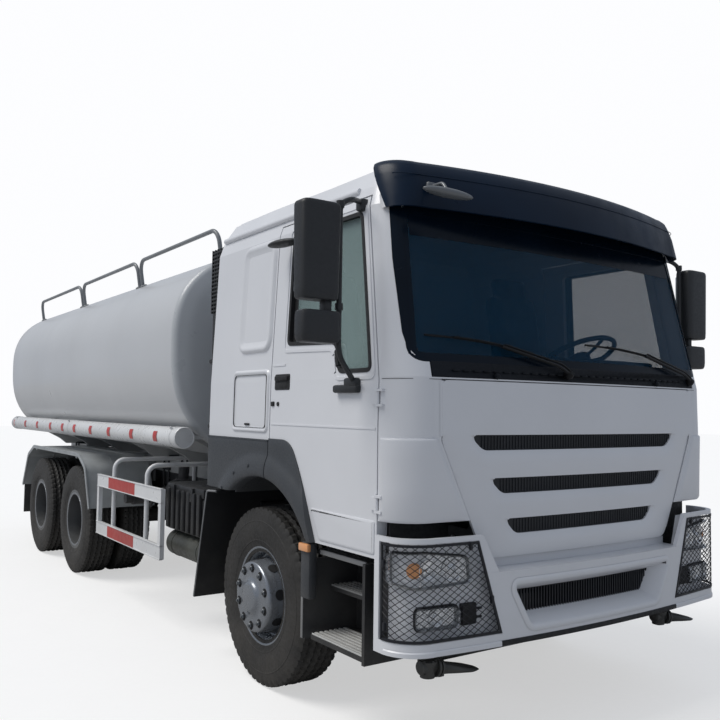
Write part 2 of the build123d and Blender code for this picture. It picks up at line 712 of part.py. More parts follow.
cab_outer = cab_form(0)
cab_inner = cab_form(CAB_WALL, CAB_SECTIONS[0][0] - 60)
CORNER_PLANE = front_view(1000)
FRONT_REACH = 700
SIDE_REACH = 600
door_cutters = [
    layer(-20, CAB_WALL + MOVE_GAP, side_view(side * 1000 + SIDE_REACH / 2),
          OPENING_OUTLINE, SIDE_REACH)
    for _, side in SIDES
]
screen_cutter = layer(-20, CAB_WALL + 10, CORNER_PLANE, SCREEN_OUTLINE, FRONT_REACH,
                      corner=SCREEN_CORNER)
cowl_cutter = layer(-20, CAB_WALL + 10, CORNER_PLANE, COWL_OUTLINE, FRONT_REACH)
flap_cutter = layer(-20, FLAP_THICK + FLAP_RECESS_GAP, CORNER_PLANE,
                    flap_outline(5, FLAP_TOP_GAP), FRONT_REACH)

FLOOR_HALF = 1130
CAB_ARM_Y = HORN_Y + HORN_WIDTH + 6
HINGE_X = DOOR_FRONT_X + DOOR_GAP / 2

with BuildPart() as cab_shell:
    add(cab_outer)
    add(cab_inner, mode=Mode.SUBTRACT)
    block(CAB_REAR_X - 50, DOOR_FRONT_X + DOOR_GAP, -1300, 1300, 800, FLOOR_TOP, Mode.SUBTRACT)
    block(DOOR_FRONT_X, BUMPER_FACE_X, -1300, 1300, 800, CAB_BOTTOM, Mode.SUBTRACT)
    block(CAB_REAR_X, DOOR_FRONT_X, -FLOOR_HALF, FLOOR_HALF, FLOOR_BOTTOM, FLOOR_TOP)
    block(CAB_REAR_X, DOOR_REAR_X - DOOR_GAP, -CLAD_IN_Y + 2, CLAD_IN_Y - 2, FLOOR_BOTTOM, FLOOR_TOP)
    block(DOOR_FRONT_X - 10, 1430, -900, 900, FLOOR_BOTTOM, FLOOR_TOP)
    block(CAB_REAR_X, TUNNEL_FRONT_X, -TUNNEL_HALF - 50, TUNNEL_HALF + 50, FLOOR_TOP, TUNNEL_TOP)
    block(CAB_REAR_X - 50, TUNNEL_FRONT_X - 50, -TUNNEL_HALF, TUNNEL_HALF,
          FLOOR_BOTTOM - 50, TUNNEL_TOP - 50, Mode.SUBTRACT)
    for cutter in door_cutters:
        add(cutter, mode=Mode.SUBTRACT)
    add(screen_cutter, mode=Mode.SUBTRACT)
    add(cowl_cutter, mode=Mode.SUBTRACT)
    add(flap_cutter, mode=Mode.SUBTRACT)
    for _, side in SIDES:
        arm_near = side * CAB_ARM_Y
        arm_far = side * (CAB_ARM_Y + CAB_ARM_WIDTH)
        rod((PIVOT_X, arm_near, PIVOT_Z), (PIVOT_X, arm_far, PIVOT_Z), PIVOT_BOSS)
        block(PIVOT_X - PIVOT_BOSS, PIVOT_X + PIVOT_BOSS, arm_near, arm_far, PIVOT_Z, FLOOR_BOTTOM)
        rod((PIVOT_X, arm_near, PIVOT_Z), (PIVOT_X, arm_far, PIVOT_Z),
            PIVOT_PIN_RADIUS + SEAT_GAP, Mode.SUBTRACT)
        lug_y = side * FLAP_LUG_Y
        block(FLAP_HINGE_X - 50, FLAP_HINGE_X, lug_y - FLAP_LUG_WIDTH / 2,
              lug_y + FLAP_LUG_WIDTH / 2, FLAP_HINGE_Z - 8, FLAP_HINGE_Z + 8)
        rod((FLAP_HINGE_X, lug_y - FLAP_PIN_LENGTH / 2, FLAP_HINGE_Z),
            (FLAP_HINGE_X, lug_y + FLAP_PIN_LENGTH / 2, FLAP_HINGE_Z), FLAP_PIN_RADIUS)
        for height in HINGE_HEIGHTS:
            hinge_y = side * HINGE_Y
            low = height - HINGE_HALF
            high = height + HINGE_HALF
            rod((HINGE_X, hinge_y, low), (HINGE_X, hinge_y, high), HINGE_NOTCH, Mode.SUBTRACT)
            rod((HINGE_X, hinge_y, low - 12), (HINGE_X, hinge_y, high + 12), HINGE_PIN_RADIUS)
            for level in (low - 12, high):
                block(HINGE_X - 8, HINGE_X + 45, hinge_y - 11, hinge_y + 11, level, level + 12)
save(cab_shell, "cab_shell")

# glass, cowl and visor
with BuildPart() as windscreen:
    add(layer(4, 4 + GLASS_THICK, CORNER_PLANE, SCREEN_OUTLINE, FRONT_REACH, corner=SCREEN_CORNER))
save(windscreen, "windscreen")

WIPER_RADIUS = 9
with BuildPart() as wipers:
    add(layer(2, CAB_WALL, CORNER_PLANE, COWL_OUTLINE, FRONT_REACH))
    for pivot_y, tip_y, tip_z in ((640, 40, 1998), (-640, -1000, 1975)):
        rod((1450, pivot_y, COWL_TOP - 45), (1495, pivot_y, COWL_TOP - 40), 2 * WIPER_RADIUS)
        rod((1490, pivot_y, COWL_TOP - 40), (1478, (pivot_y + tip_y) / 2, tip_z), WIPER_RADIUS)
    add(cab_form(2), mode=Mode.SUBTRACT)
    add(layer(2, CAB_WALL, CORNER_PLANE, COWL_OUTLINE, FRONT_REACH))
save(wipers, "wipers")

VISOR_SKIN = 26
VISOR_LEVELS = (
    # z, nose_x, end_x, half_width
    (2628, 1442, 1285, 1160),
    (2745, 1424, 1258, 1158),
    (2862, 1384, 1205, 1148),
    (2903, 1310, 1130, 1110),
)
VISOR_REAR_X = 1000
VISOR_CUT = ((1262, 2600), (1126, 2886), (1090, 2960), (950, 2960), (950, 2600))


def visor_form(inset):
    """The visor's outer form over the screen, shrunk by inset in front, at the ends and on top."""
    with BuildPart() as form:
        for z, nose_x, end_x, half_width in VISOR_LEVELS:
            level = z - inset if z > VISOR_LEVELS[0][0] else z - 2 * inset
            half = half_width - inset
            with BuildSketch(top_view(level)):
                with BuildLine():
                    Polyline((end_x - inset, -half), (VISOR_REAR_X, -half), (VISOR_REAR_X, half),
                             (end_x - inset, half))
                    ThreePointArc((end_x - inset, half), (nose_x - inset, 0), (end_x - inset, -half))
                make_face()
        loft(ruled=True)
    return form.part


with BuildPart() as sun_visor:
    add(visor_form(0))
    add(visor_form(VISOR_SKIN), mode=Mode.SUBTRACT)
    side_plate(VISOR_CUT, -VISOR_LEVELS[0][3], VISOR_LEVELS[0][3], Mode.SUBTRACT)
    add(cab_outer, mode=Mode.SUBTRACT)
save(sun_visor, "sun_visor")

# dark cladding and wheel arch flares
CLAD_TOP = FLOOR_TOP
CLAD_DOOR_BOTTOM = ARCH_FRONT_BOTTOM - 4
CLAD_LAP = 8
CLAD_SPLIT_X = DOOR_REAR_X - DOOR_GAP


with BuildPart() as cab_arches:
    for _, side in SIDES:
        side_plate(
            ((CAB_REAR_X, CLAD_TOP), (CLAD_SPLIT_X, CLAD_TOP), (CLAD_SPLIT_X, ARCH_REAR_BOTTOM),
             (CAB_REAR_X, ARCH_REAR_BOTTOM)), side * CLAD_IN_Y, side * CLAD_FACE_Y)
        rod((ARCH_X, side * CLAD_IN_Y, ARCH_Z), (ARCH_X, side * CLAD_FACE_Y, ARCH_Z),
            ARCH_RADIUS + FLARE_BAND / 2, Mode.SUBTRACT)
    for _, side in SIDES:
        with BuildSketch(side_view(max(side * FLARE_IN_Y, side * FLARE_OUT_Y))):
            with Locations((ARCH_X, ARCH_Z)):
                Circle(ARCH_RADIUS + FLARE_BAND)
                Circle(ARCH_RADIUS, mode=Mode.SUBTRACT)
            with Locations(((CLAD_SPLIT_X - 1000), 0)):
                Rectangle(2000, 2 * FLOOR_BOTTOM - 4, mode=Mode.INTERSECT)
            with Locations((ARCH_X, 0)):
                Rectangle(3000, 2 * ARCH_REAR_BOTTOM, mode=Mode.SUBTRACT)
        extrude(amount=FLARE_OUT_Y - FLARE_IN_Y)
    for near_y, far_y, limit_x in (
        (LINER_IN_Y, FLARE_IN_Y - MOVE_GAP, 3000),
        (FLARE_IN_Y - MOVE_GAP, FLARE_IN_Y + 4, CLAD_SPLIT_X),
    ):
        for _, side in SIDES:
            with BuildSketch(side_view(max(side * near_y, side * far_y))):
                with Locations((LINER_X, ARCH_Z)):
                    Circle(LINER_RADIUS + LINER_THICK)
                    Circle(LINER_RADIUS, mode=Mode.SUBTRACT)
                with Locations((limit_x - 2000, 0)):
                    Rectangle(4000, 4000, mode=Mode.INTERSECT)
                with Locations((LINER_X - 150, 0)):
                    Rectangle(1500, 2 * (ARCH_REAR_BOTTOM - 28), mode=Mode.SUBTRACT)
                with Locations((LINER_X + 150, 0)):
                    Rectangle(1500, 2 * (ARCH_REAR_BOTTOM - 60), mode=Mode.SUBTRACT)
            extrude(amount=far_y - near_y)
    for _, side in SIDES:
        block(LINER_X - 200, LINER_X - 185, side * LINER_IN_Y, side * (FLARE_IN_Y - 30),
              ARCH_Z + LINER_RADIUS - 40, FLOOR_BOTTOM)
        block(LINER_X + 85, LINER_X + 100, side * LINER_IN_Y, side * (FLARE_IN_Y - 30),
              ARCH_Z + LINER_RADIUS - 10, FLOOR_BOTTOM)
save(cab_arches, "cab_arches")

# inside of the cab
with BuildPart() as dashboard:
    side_plate(((1185, 1500), (1400, 1500), (1400, 1790), (1330, 1880), (1150, 1900), (1090, 1820),
                (1090, 1700), (1185, 1680)), -1040, 1040)
    add(cab_form(CAB_WALL + 12), mode=Mode.INTERSECT)
    block(1185, 1235, -1000, 1000, FLOOR_TOP, 1510)
save(dashboard, "dashboard")

with BuildPart() as seats:
    for _, side in SIDES:
        block(180, 700, side * 560, side * 1060, FLOOR_TOP, FLOOR_TOP + 260)
        block(150, 700, side * 540, side * 1080, FLOOR_TOP + 260, FLOOR_TOP + 400)
        side_plate(((150, 1860), (290, 1860), (170, 2520), (50, 2520)), side * 560, side * 1060)
    block(CAB_REAR_X + CAB_WALL, 20, -1060, 1060, TUNNEL_TOP, TUNNEL_TOP + 160)
save(seats, "seats")

WHEEL_RIM_RADIUS = 240
COLUMN_FOOT = (1090, 620, 1620)
COLUMN_HEAD = (900, 620, 2000)
with BuildPart() as steering_wheel:
    rod(COLUMN_FOOT, COLUMN_HEAD, 28)
    head = Vector(*point(*COLUMN_HEAD))
    tilt = head - Vector(*point(*COLUMN_FOOT))
    with Locations(Plane(origin=head, z_dir=tilt)):
        Torus(WHEEL_RIM_RADIUS, 15)
        Box(2 * WHEEL_RIM_RADIUS, 50, 20)
        Box(50, 2 * WHEEL_RIM_RADIUS, 20)
    block(1060, 1100, 560, 680, FLOOR_TOP, 1680)
save(steering_wheel, "steering_wheel")

# front flap with its slots
SLOTS = (
    # z_middle, half_width
    (1490, 790),
    (1280, 670),
    (1080, 570),
)
SLOT_HEIGHT = 76
with BuildPart() as front_flap:
    add(layer(0, FLAP_THICK, CORNER_PLANE, flap_outline(0, 0), FRONT_REACH))
    for slot_z, slot_half in SLOTS:
        with BuildSketch(front_view(1000)):
            with Locations((0, slot_z)):
                SlotOverall(2 * slot_half, SLOT_HEIGHT)
        extrude(amount=FRONT_REACH, mode=Mode.SUBTRACT)
    for _, side in SIDES:
        lug_y = side * FLAP_LUG_Y
        block(FLAP_HINGE_X - 40, FLAP_HINGE_X + 40, lug_y - FLAP_NOTCH_WIDTH / 2,
              lug_y + FLAP_NOTCH_WIDTH / 2, FLAP_HINGE_Z - 20, FLAP_TOP + 10, Mode.SUBTRACT)
        rod((FLAP_HINGE_X, lug_y - 60, FLAP_HINGE_Z), (FLAP_HINGE_X, lug_y + 60, FLAP_HINGE_Z),
            FLAP_PIN_RADIUS + SEAT_GAP, Mode.SUBTRACT)
save(front_flap, "front_flap")

# doors, with glass, mirrors and lower cladding
MIRROR_TUBE = 14
MIRROR_ARM_X = 1130
MIRROR_ARM_Y = 1372
DOOR_CLAD = (
    (CLAD_SPLIT_X + DOOR_GAP, FLOOR_TOP + CLAD_LAP),
    (374, FLOOR_TOP + CLAD_LAP),
    (466, 1404),
    (551, 1268),
    (696, CLAD_DOOR_BOTTOM),
    (CLAD_SPLIT_X + DOOR_GAP, CLAD_DOOR_BOTTOM),
)
for side_name, side in SIDES:
    reach_plane = side_view(side * 1000 + SIDE_REACH / 2)
    door_skin = layer(0, CAB_WALL, reach_plane, DOOR_OUTLINE, SIDE_REACH)
    with BuildPart() as door:
        add(door_skin)
        with BuildSketch(reach_plane):
            with BuildLine():
                FilletPolyline(*WINDOW_OUTLINE, radius=28, close=True)
            make_face()
        extrude(amount=SIDE_REACH, mode=Mode.SUBTRACT)
        for height in HINGE_HEIGHTS:
            hinge_y = side * HINGE_Y
            rod((HINGE_X, hinge_y, height - HINGE_HALF - 16),
                (HINGE_X, hinge_y, height + HINGE_HALF + 16), HINGE_NOTCH, Mode.SUBTRACT)
            low = height - HINGE_HALF + SEAT_GAP
            high = height + HINGE_HALF - SEAT_GAP
            block(HINGE_X - 45, HINGE_X, hinge_y - 7, hinge_y + 7, low, high)
            rod((HINGE_X, hinge_y, low), (HINGE_X, hinge_y, high), HINGE_BARREL)
            rod((HINGE_X, hinge_y, low - 5), (HINGE_X, hinge_y, high + 5),
                HINGE_PIN_RADIUS + SEAT_GAP, Mode.SUBTRACT)
    save(door, f"door_{side_name}")

    with BuildPart() as door_glass:
        add(layer(GLASS_INSET, GLASS_INSET + GLASS_THICK, reach_plane, WINDOW_OUTLINE,
                  SIDE_REACH, corner=28))
    save(door_glass, f"door_glass_{side_name}")

    with BuildPart() as door_arch:
        side_plate(DOOR_CLAD, side * (FLARE_IN_Y + 12), side * CLAD_FACE_Y)
        rod((ARCH_X, side * FLARE_IN_Y, ARCH_Z), (ARCH_X, side * FLARE_OUT_Y, ARCH_Z),
            ARCH_RADIUS, Mode.SUBTRACT)
        with BuildSketch(side_view(max(side * FLARE_IN_Y, side * FLARE_OUT_Y))):
            with Locations((ARCH_X, ARCH_Z)):
                Circle(ARCH_RADIUS + FLARE_BAND)
                Circle(ARCH_RADIUS, mode=Mode.SUBTRACT)
            with BuildLine():
                Polyline(*DOOR_CLAD, close=True)
            make_face(mode=Mode.INTERSECT)
        extrude(amount=FLARE_OUT_Y - FLARE_IN_Y)
        add(door_skin, mode=Mode.SUBTRACT)
    save(door_arch, f"door_arch_{side_name}")

    with BuildPart() as mirror:
        arm_y = side * MIRROR_ARM_Y
        block(1000, 1060, side * 1120, side * 1200, 2668, 2704)
        block(880, 1100, side * 1190, side * 1248, 1722, 1800)
        add(cab_outer, mode=Mode.SUBTRACT)
        bent_tube(((1030, side * 1180, 2688), (MIRROR_ARM_X, arm_y, 2650),
                   (MIRROR_ARM_X, arm_y, 1900), (1060, side * 1236, 1780)), 60, MIRROR_TUBE)
        block(MIRROR_ARM_X - 55, MIRROR_ARM_X + 65, arm_y, side * 1612, 2150, 2612)
        block(MIRROR_ARM_X - 50, MIRROR_ARM_X + 60, arm_y, side * 1600, 1950, 2100)
    save(mirror, f"mirror_{side_name}")

# ---------------------------------------------------------------- bumper, lamps and guards
LAMP_OPENING = ((684, 595), (826, 1040), (1300, 1040), (1300, 595))
LAMP_OPENING_X = 1300
LAMP_FRONT_INSET = 60
LAMP_BACK_INSET = 165
GUARD_WALL = 8
GUARD_FRAME = 24
GUARD_BARS = 7


def bumper_form(inset, low, high):
    """The bumper's plan outline, shrunk by inset at front and sides, between two heights."""
    half = BUMPER_HALF_WIDTH - inset
    shoulder = BUMPER_SHOULDER_Y - inset / 2
    side_end = BUMPER_SIDE_X - inset / 3
    corner = BUMPER_CORNER_X - inset
    bend_x = side_end + (corner - side_end) * math.sqrt(0.5)
    bend_y = shoulder + (half - shoulder) * math.sqrt(0.5)
    with BuildPart() as form:
        with BuildSketch(top_view(low)):
            with BuildLine():
                Line((BUMPER_REAR_X, -half), (side_end, -half))
                ThreePointArc((side_end, -half), (bend_x, -bend_y), (corner, -shoulder))
                ThreePointArc((corner, -shoulder), (BUMPER_FACE_X - inset, 0), (corner, shoulder))
                ThreePointArc((corner, shoulder), (bend_x, bend_y), (side_end, half))
                Line((side_end, half), (BUMPER_REAR_X, half))
                Line((BUMPER_REAR_X, half), (BUMPER_REAR_X, -half))
            make_face()
        extrude(amount=high - low)
    return form.part


def bumper_layer(outer_inset, inner_inset, outline):
    """The part of a bumper skin that lies inside an outline drawn from the front, both sides."""
    outer_form = bumper_form(outer_inset, BUMPER_BOTTOM, BUMPER_TOP)
    inner_form = bumper_form(inner_inset, BUMPER_BOTTOM - 10, BUMPER_TOP + 10)
    with BuildPart() as piece:
        for _, side in SIDES:
            front_plate([(side * y, z) for y, z in outline], LAMP_OPENING_X, LAMP_OPENING_X + 400)
        add(outer_form, mode=Mode.INTERSECT)
        add(inner_form, mode=Mode.SUBTRACT)
    return piece.part


bumper_outer = bumper_form(0, BUMPER_BOTTOM, BUMPER_TOP)
bumper_inner = bumper_form(BUMPER_WALL, BUMPER_BOTTOM - 10, BUMPER_TOP + 10)
GRILLE_OPENING = ((-600, 815), (600, 815), (600, 785), (500, 610), (-500, 610), (-600, 785))
with BuildPart() as front_bumper:
    add(bumper_outer)
    add(bumper_inner, mode=Mode.SUBTRACT)
    front_plate(((-705, BUMPER_LEDGE_Z), (705, BUMPER_LEDGE_Z), (812, BUMPER_TOP + 20),
                 (-812, BUMPER_TOP + 20)), 1200, 1700, Mode.SUBTRACT)
    for _, side in SIDES:
        front_plate([(side * y, z) for y, z in LAMP_OPENING], LAMP_OPENING_X, 1700, Mode.SUBTRACT)
    front_plate(GRILLE_OPENING, 1200, 1700, Mode.SUBTRACT)
    for _, side in SIDES:
        block(FRONT_BEAM_X + FRONT_BEAM_DEPTH, BUMPER_FACE_X - 30, side * 615, side * 675,
              FRONT_BEAM_BOTTOM + 15, FRONT_BEAM_TOP - 15)
    block(FRONT_BEAM_X + FRONT_BEAM_DEPTH, BUMPER_FACE_X - 25, -612, 612,
          BUMPER_BOTTOM + 5, FRONT_BEAM_BOTTOM + 12)
    add(bumper_form(2, BUMPER_BOTTOM - 20, BUMPER_TOP + 20), mode=Mode.INTERSECT)
save(front_bumper, "front_bumper")

LAMPS = (
    # inner_y, outer_y, z_low, z_high
    (846, 1260, 826, 985),
    (856, 1210, 640, 752),
)
with BuildPart() as lamps:
    for inner_y, outer_y, z_low, z_high in LAMPS:
        add(bumper_layer(LAMP_FRONT_INSET, LAMP_BACK_INSET - 10,
                         ((inner_y, z_low), (inner_y, z_high), (outer_y, z_high), (outer_y, z_low))))
    add(bumper_layer(LAMP_BACK_INSET - 12, LAMP_BACK_INSET,
                     ((830, 615), (830, 988), (1260, 988), (1260, 615))))
    for _, side in SIDES:
        block(1362, 1386, side * FRONT_BEAM_HALF, side * 870, 640, 700)
save(lamps, "lamps")

with BuildPart() as lamp_guards:
    add(bumper_layer(0, GUARD_WALL, LAMP_OPENING))
    inner_hole = ((716, 595 + GUARD_FRAME), (836, 1040 - GUARD_FRAME), (1300, 1040 - GUARD_FRAME),
                  (1300, 595 + GUARD_FRAME))
    for _, side in SIDES:
        front_plate([(side * y, z) for y, z in inner_hole], LAMP_OPENING_X + GUARD_FRAME, 1700,
                    Mode.SUBTRACT)
    pitch = (1040 - 595) / GUARD_BARS
    for count in range(1, GUARD_BARS):
        level = 595 + count * pitch
        inner_y = 684 + (level - 595) * (826 - 684) / (1040 - 595)
        add(bumper_layer(0, GUARD_WALL, ((inner_y, level - 4), (inner_y, level + 4),
                                         (1300, level + 4), (1300, level - 4))))
save(lamp_guards, "lamp_guards")

# ---------------------------------------------------------------- steps and mudguards
STEP_BACK_Y = 900
STEP_FACE_Y = 1205
STEP_REAR_OUT_X = 552
STEP_REAR_IN_X = 657
STEP_FRONT_X = 1140
STEP_BOTTOM = 420
STEP_TOP = 900
STEP_SHEET = 22
with BuildPart() as entry_steps:
    for _, side in SIDES:
        back = side * STEP_BACK_Y
        face = side * STEP_FACE_Y
        with BuildSketch(top_view(STEP_BOTTOM)):
            with BuildLine():
                Polyline((STEP_REAR_IN_X, back), (STEP_REAR_OUT_X, face),
                         (STEP_REAR_OUT_X + STEP_SHEET, face), (STEP_REAR_IN_X + STEP_SHEET, back),
                         close=True)
            make_face()
        extrude(amount=STEP_TOP - STEP_BOTTOM - 60)
        block(STEP_FRONT_X - STEP_SHEET, STEP_FRONT_X, back, face, STEP_BOTTOM, STEP_TOP)
        block(STEP_REAR_IN_X, STEP_FRONT_X, back, side * (STEP_BACK_Y + STEP_SHEET),
              STEP_BOTTOM, STEP_TOP)
        block(STEP_REAR_IN_X, STEP_FRONT_X, back, face, STEP_BOTTOM + 15, STEP_BOTTOM + 40)
        block(STEP_REAR_IN_X, STEP_FRONT_X, back, side * (STEP_FACE_Y - 120), 680, 700)
        block(STEP_REAR_IN_X, STEP_FRONT_X, back, side * (STEP_FACE_Y - 30), STEP_TOP - 22, STEP_TOP)
        block(760, 840, side * FRAME_HALF_WIDTH, back, 760, 840)
save(entry_steps, "entry_steps")

GUARD_IN_Y = 625
GUARD_OUT_Y = 1236
with BuildPart() as front_mudguards:
    for _, side in SIDES:
        side_plate(((-470, 1096), (-617, 1088), (-788, 370), (-800, 370), (-629, 1100),
                    (-470, 1108)), side * GUARD_IN_Y, side * GUARD_OUT_Y)
        rod((-642, side * FRAME_HALF_WIDTH, 985), (-642, side * (GUARD_IN_Y + 200), 985), 18)
save(front_mudguards, "front_mudguards")

MUDGUARD_PATH = ((-5930, 690), (-5700, 1060), (-5430, 1168), (-3620, 1168), (-3400, 1062),
                 (-3232, 690))
MUDGUARD_IN_Y = 602
MUDGUARD_OUT_Y = 1240
MUDGUARD_SHEET = 8
MUDGUARD_POSTS = (-5300, -3700)
with BuildPart() as rear_mudguards:
    for _, side in SIDES:
        for near_y, far_y, thick in ((MUDGUARD_IN_Y, MUDGUARD_OUT_Y, MUDGUARD_SHEET),
                                     (MUDGUARD_OUT_Y - 8, MUDGUARD_OUT_Y, 36)):
            with BuildSketch(side_view(max(side * near_y, side * far_y))):
                with BuildLine():
                    FilletPolyline(*MUDGUARD_PATH, radius=140)
                trace(line_width=thick)
            extrude(amount=far_y - near_y)
        for x in MUDGUARD_POSTS:
            block(x - 20, x + 20, side * FRAME_HALF_WIDTH, side * (FRAME_HALF_WIDTH + 20),
                  FRAME_TOP - 120, 1165)
            rod((x, side * (FRAME_HALF_WIDTH + 10), 1148), (x, side * (MUDGUARD_OUT_Y - 4), 1148), 18)
save(rear_mudguards, "rear_mudguards")

SIDE_GUARD_POSTS = (-2650, -1850)
with BuildPart() as side_guards:
    for _, side in SIDES:
        near_y = side * 1206
        far_y = side * 1240
        for z_low, z_high in ((512, 612), (930, 1030)):
            block(-2975, -1425, near_y, far_y, z_low, z_high)
        for x in (-2975, -1475):
            block(x, x + 50, near_y, far_y, 512, 1030)
        for x in SIDE_GUARD_POSTS:
            bent_tube(((x, side * 1192, 530), (x, side * 1192, 1178), (x, side * 449, 1178),
                       (x, side * 449, 900)), 85, 19)
save(side_guards, "side_guards")

# ---------------------------------------------------------------- boxes on the frame
with BuildPart() as battery_box:
    block(-1720, -1020, -1100, -600, 580, 1060)
    for x in (-1600, -1250):
        block(x, x + 90, -600, -FRAME_HALF_WIDTH, 800, 900)
save(battery_box, "battery_box")

with BuildPart() as fuel_tank:
    block(-2300, -1060, 560, 1150, 470, 1060)
    fillet(fuel_tank.edges().filter_by(Axis.X), radius=90)
    for x in (-2150, -1300):
        block(x, x + 90, FRAME_HALF_WIDTH, 560, 720, 860)
save(fuel_tank, "fuel_tank")

with BuildPart() as air_intake:
    block(-880, -684, -1128, -840, 1160, 2760)
    block(-860, -700, -1128, -FRAME_INNER_Y, 1130, 1162)
    block(-860, -800, -FRAME_HALF_WIDTH, -FRAME_INNER_Y, FRAME_TOP, 1132)
save(air_intake, "air_intake")

PUMP_X = -2420
OUTLET_RADIUS = 40
OUTLET_LENGTH = 60
OUTLET_Y = 1110
with BuildPart() as water_pump:
    rod((PUMP_X - 150, -650, 860), (PUMP_X + 150, -650, 860), 150)
    block(PUMP_X - 70, PUMP_X + 70, -650, -FRAME_HALF_WIDTH, 780, 900)
    rod((PUMP_X, -650, 860), (PUMP_X, -OUTLET_Y, 860), OUTLET_RADIUS + 12)
    rod((PUMP_X, -OUTLET_Y, 860), (PUMP_X, -OUTLET_Y - OUTLET_LENGTH, 860), OUTLET_RADIUS)
    rod((PUMP_X, -650, 900), (PUMP_X, -650, 1120), 45)
save(water_pump, "water_pump")

SPRINKLERS = (
    # body_y, tip_y
    (-1080, -800),
    (640, 920),
)
with BuildPart() as front_sprinklers:
    rod((1420, SPRINKLERS[0][0], 508), (1420, SPRINKLERS[1][0], 508), 22)
    for y in (-560, 560):
        rod((1420, y, 508), (1420, y, FRONT_BEAM_BOTTOM), 18)
    for body_y, tip_y in SPRINKLERS:
        block(1400, 1520, body_y - 45, body_y + 45, 448, 528)
        with BuildSketch(Plane(origin=point(1480, body_y + 30, 470), x_dir=(1, 0, 0), z_dir=(0, 1, 0))):
            Circle(26)
        with BuildSketch(Plane(origin=point(1490, tip_y, 432), x_dir=(1, 0, 0), z_dir=(0, 1, 0))):
            Rectangle(120, 14)
        loft()
save(front_sprinklers, "front_sprinklers")

# ---------------------------------------------------------------- tank
HALF_PI = math.pi / 2


def tank_edge(share, scale):
    """A place on the tank's section; share runs from 0 to 4, a quarter of the outline each."""
    angle = share * HALF_PI
    across = math.cos(angle)
    upward = math.sin(angle)
    power = TANK_POWER_TOP if upward >= 0 else TANK_POWER_LOW
    reach = TANK_RISE if upward >= 0 else TANK_DROP
    y = math.copysign(abs(across) ** (2 / power), across) * TANK_HALF_WIDTH
    z = math.copysign(abs(upward) ** (2 / power), upward) * reach
    return (y * scale, TANK_MID_Z + z * scale)


def tank_section(x, scale):
    """The tank's section at x as a closed run of arcs through its formula."""
    with BuildSketch(front_view(x)) as section:
        with BuildLine():
            for count in range(4 * TANK_ARCS):
                start = count / TANK_ARCS
                ThreePointArc(tank_edge(start, scale), tank_edge(start + 0.5 / TANK_ARCS, scale),
                              tank_edge(start + 1 / TANK_ARCS, scale))
        make_face()
    return section.sketch


SHELL_FRONT_X = TANK_FRONT_X - TANK_HEAD_DEPTH
SHELL_REAR_X = TANK_REAR_X + TANK_HEAD_DEPTH
NECK_TOP = TANK_MID_Z + TANK_RISE + MANHOLE_NECK
LID_HINGE_X = MANHOLE_X - MANHOLE_RADIUS - 32
LID_HINGE_Z = NECK_TOP + LID_THICK / 2
LID_PIN_RADIUS = 8
with BuildPart() as tank_body:
    extrude(tank_section(SHELL_REAR_X, 1), amount=SHELL_FRONT_X - SHELL_REAR_X)
    loft([tank_section(SHELL_FRONT_X, 1), tank_section(TANK_FRONT_X, TANK_HEAD_SCALE)], ruled=True)
    loft([tank_section(SHELL_REAR_X, 1), tank_section(TANK_REAR_X, TANK_HEAD_SCALE)], ruled=True)
tank_form = tank_body.part

with BuildPart() as water_tank:
    add(tank_form)
    rod((MANHOLE_X, 0, TANK_MID_Z), (MANHOLE_X, 0, NECK_TOP), MANHOLE_RADIUS)
    for y in (-60, 60):
        block(LID_HINGE_X - 16, LID_HINGE_X + 60, y - 12, y + 12, TANK_MID_Z + TANK_RISE - 30,
              LID_HINGE_Z + 16)
        block(MANHOLE_X - MANHOLE_RADIUS - 20, MANHOLE_X, y - 20, y + 20, NECK_TOP,
              LID_HINGE_Z + 40, Mode.SUBTRACT)
    rod((LID_HINGE_X, -72, LID_HINGE_Z), (LID_HINGE_X, 72, LID_HINGE_Z), LID_PIN_RADIUS)
save(water_tank, "water_tank")

with BuildPart() as manhole_lid:
    rod((MANHOLE_X, 0, NECK_TOP + SEAT_GAP), (MANHOLE_X, 0, NECK_TOP + LID_THICK),
        MANHOLE_RADIUS - 8)
    block(LID_HINGE_X, MANHOLE_X - MANHOLE_RADIUS + 60, -36, 36, NECK_TOP + 4, NECK_TOP + LID_THICK - 4)
    rod((LID_HINGE_X, -36, LID_HINGE_Z), (LID_HINGE_X, 36, LID_HINGE_Z), LID_PIN_RADIUS + 6)
    rod((LID_HINGE_X, -46, LID_HINGE_Z), (LID_HINGE_X, 46, LID_HINGE_Z),
        LID_PIN_RADIUS + SEAT_GAP, Mode.SUBTRACT)
    rod((MANHOLE_X + 150, -70, NECK_TOP + LID_THICK + 30), (MANHOLE_X + 150, 70, NECK_TOP + LID_THICK + 30), 9)
    for y in (-62, 62):
        rod((MANHOLE_X + 150, y, NECK_TOP + LID_THICK - 5), (MANHOLE_X + 150, y, NECK_TOP + LID_THICK + 30), 9)
save(manhole_lid, "manhole_lid")

CRADLE_BEAM_TOP = 1150
SADDLES = (-1500, -2500, -3450, -4500, -5560, -6640)
SADDLE_THICK = 60
with BuildPart() as cradle_beams:
    for _, side in SIDES:
        block(-6850, -1330, side * FRAME_INNER_Y, side * FRAME_HALF_WIDTH, FRAME_TOP, CRADLE_BEAM_TOP)
save(cradle_beams, "cradle_beams")

with BuildPart() as tank_saddles:
    for x in SADDLES:
        front_plate(((-1000, 1560), (-990, 1400), (-640, 1215), (-560, CRADLE_BEAM_TOP),
                     (560, CRADLE_BEAM_TOP), (640, 1215), (990, 1400), (1000, 1560)),
                    x, x + SADDLE_THICK)
    add(tank_form, mode=Mode.SUBTRACT)
save(tank_saddles, "tank_saddles")

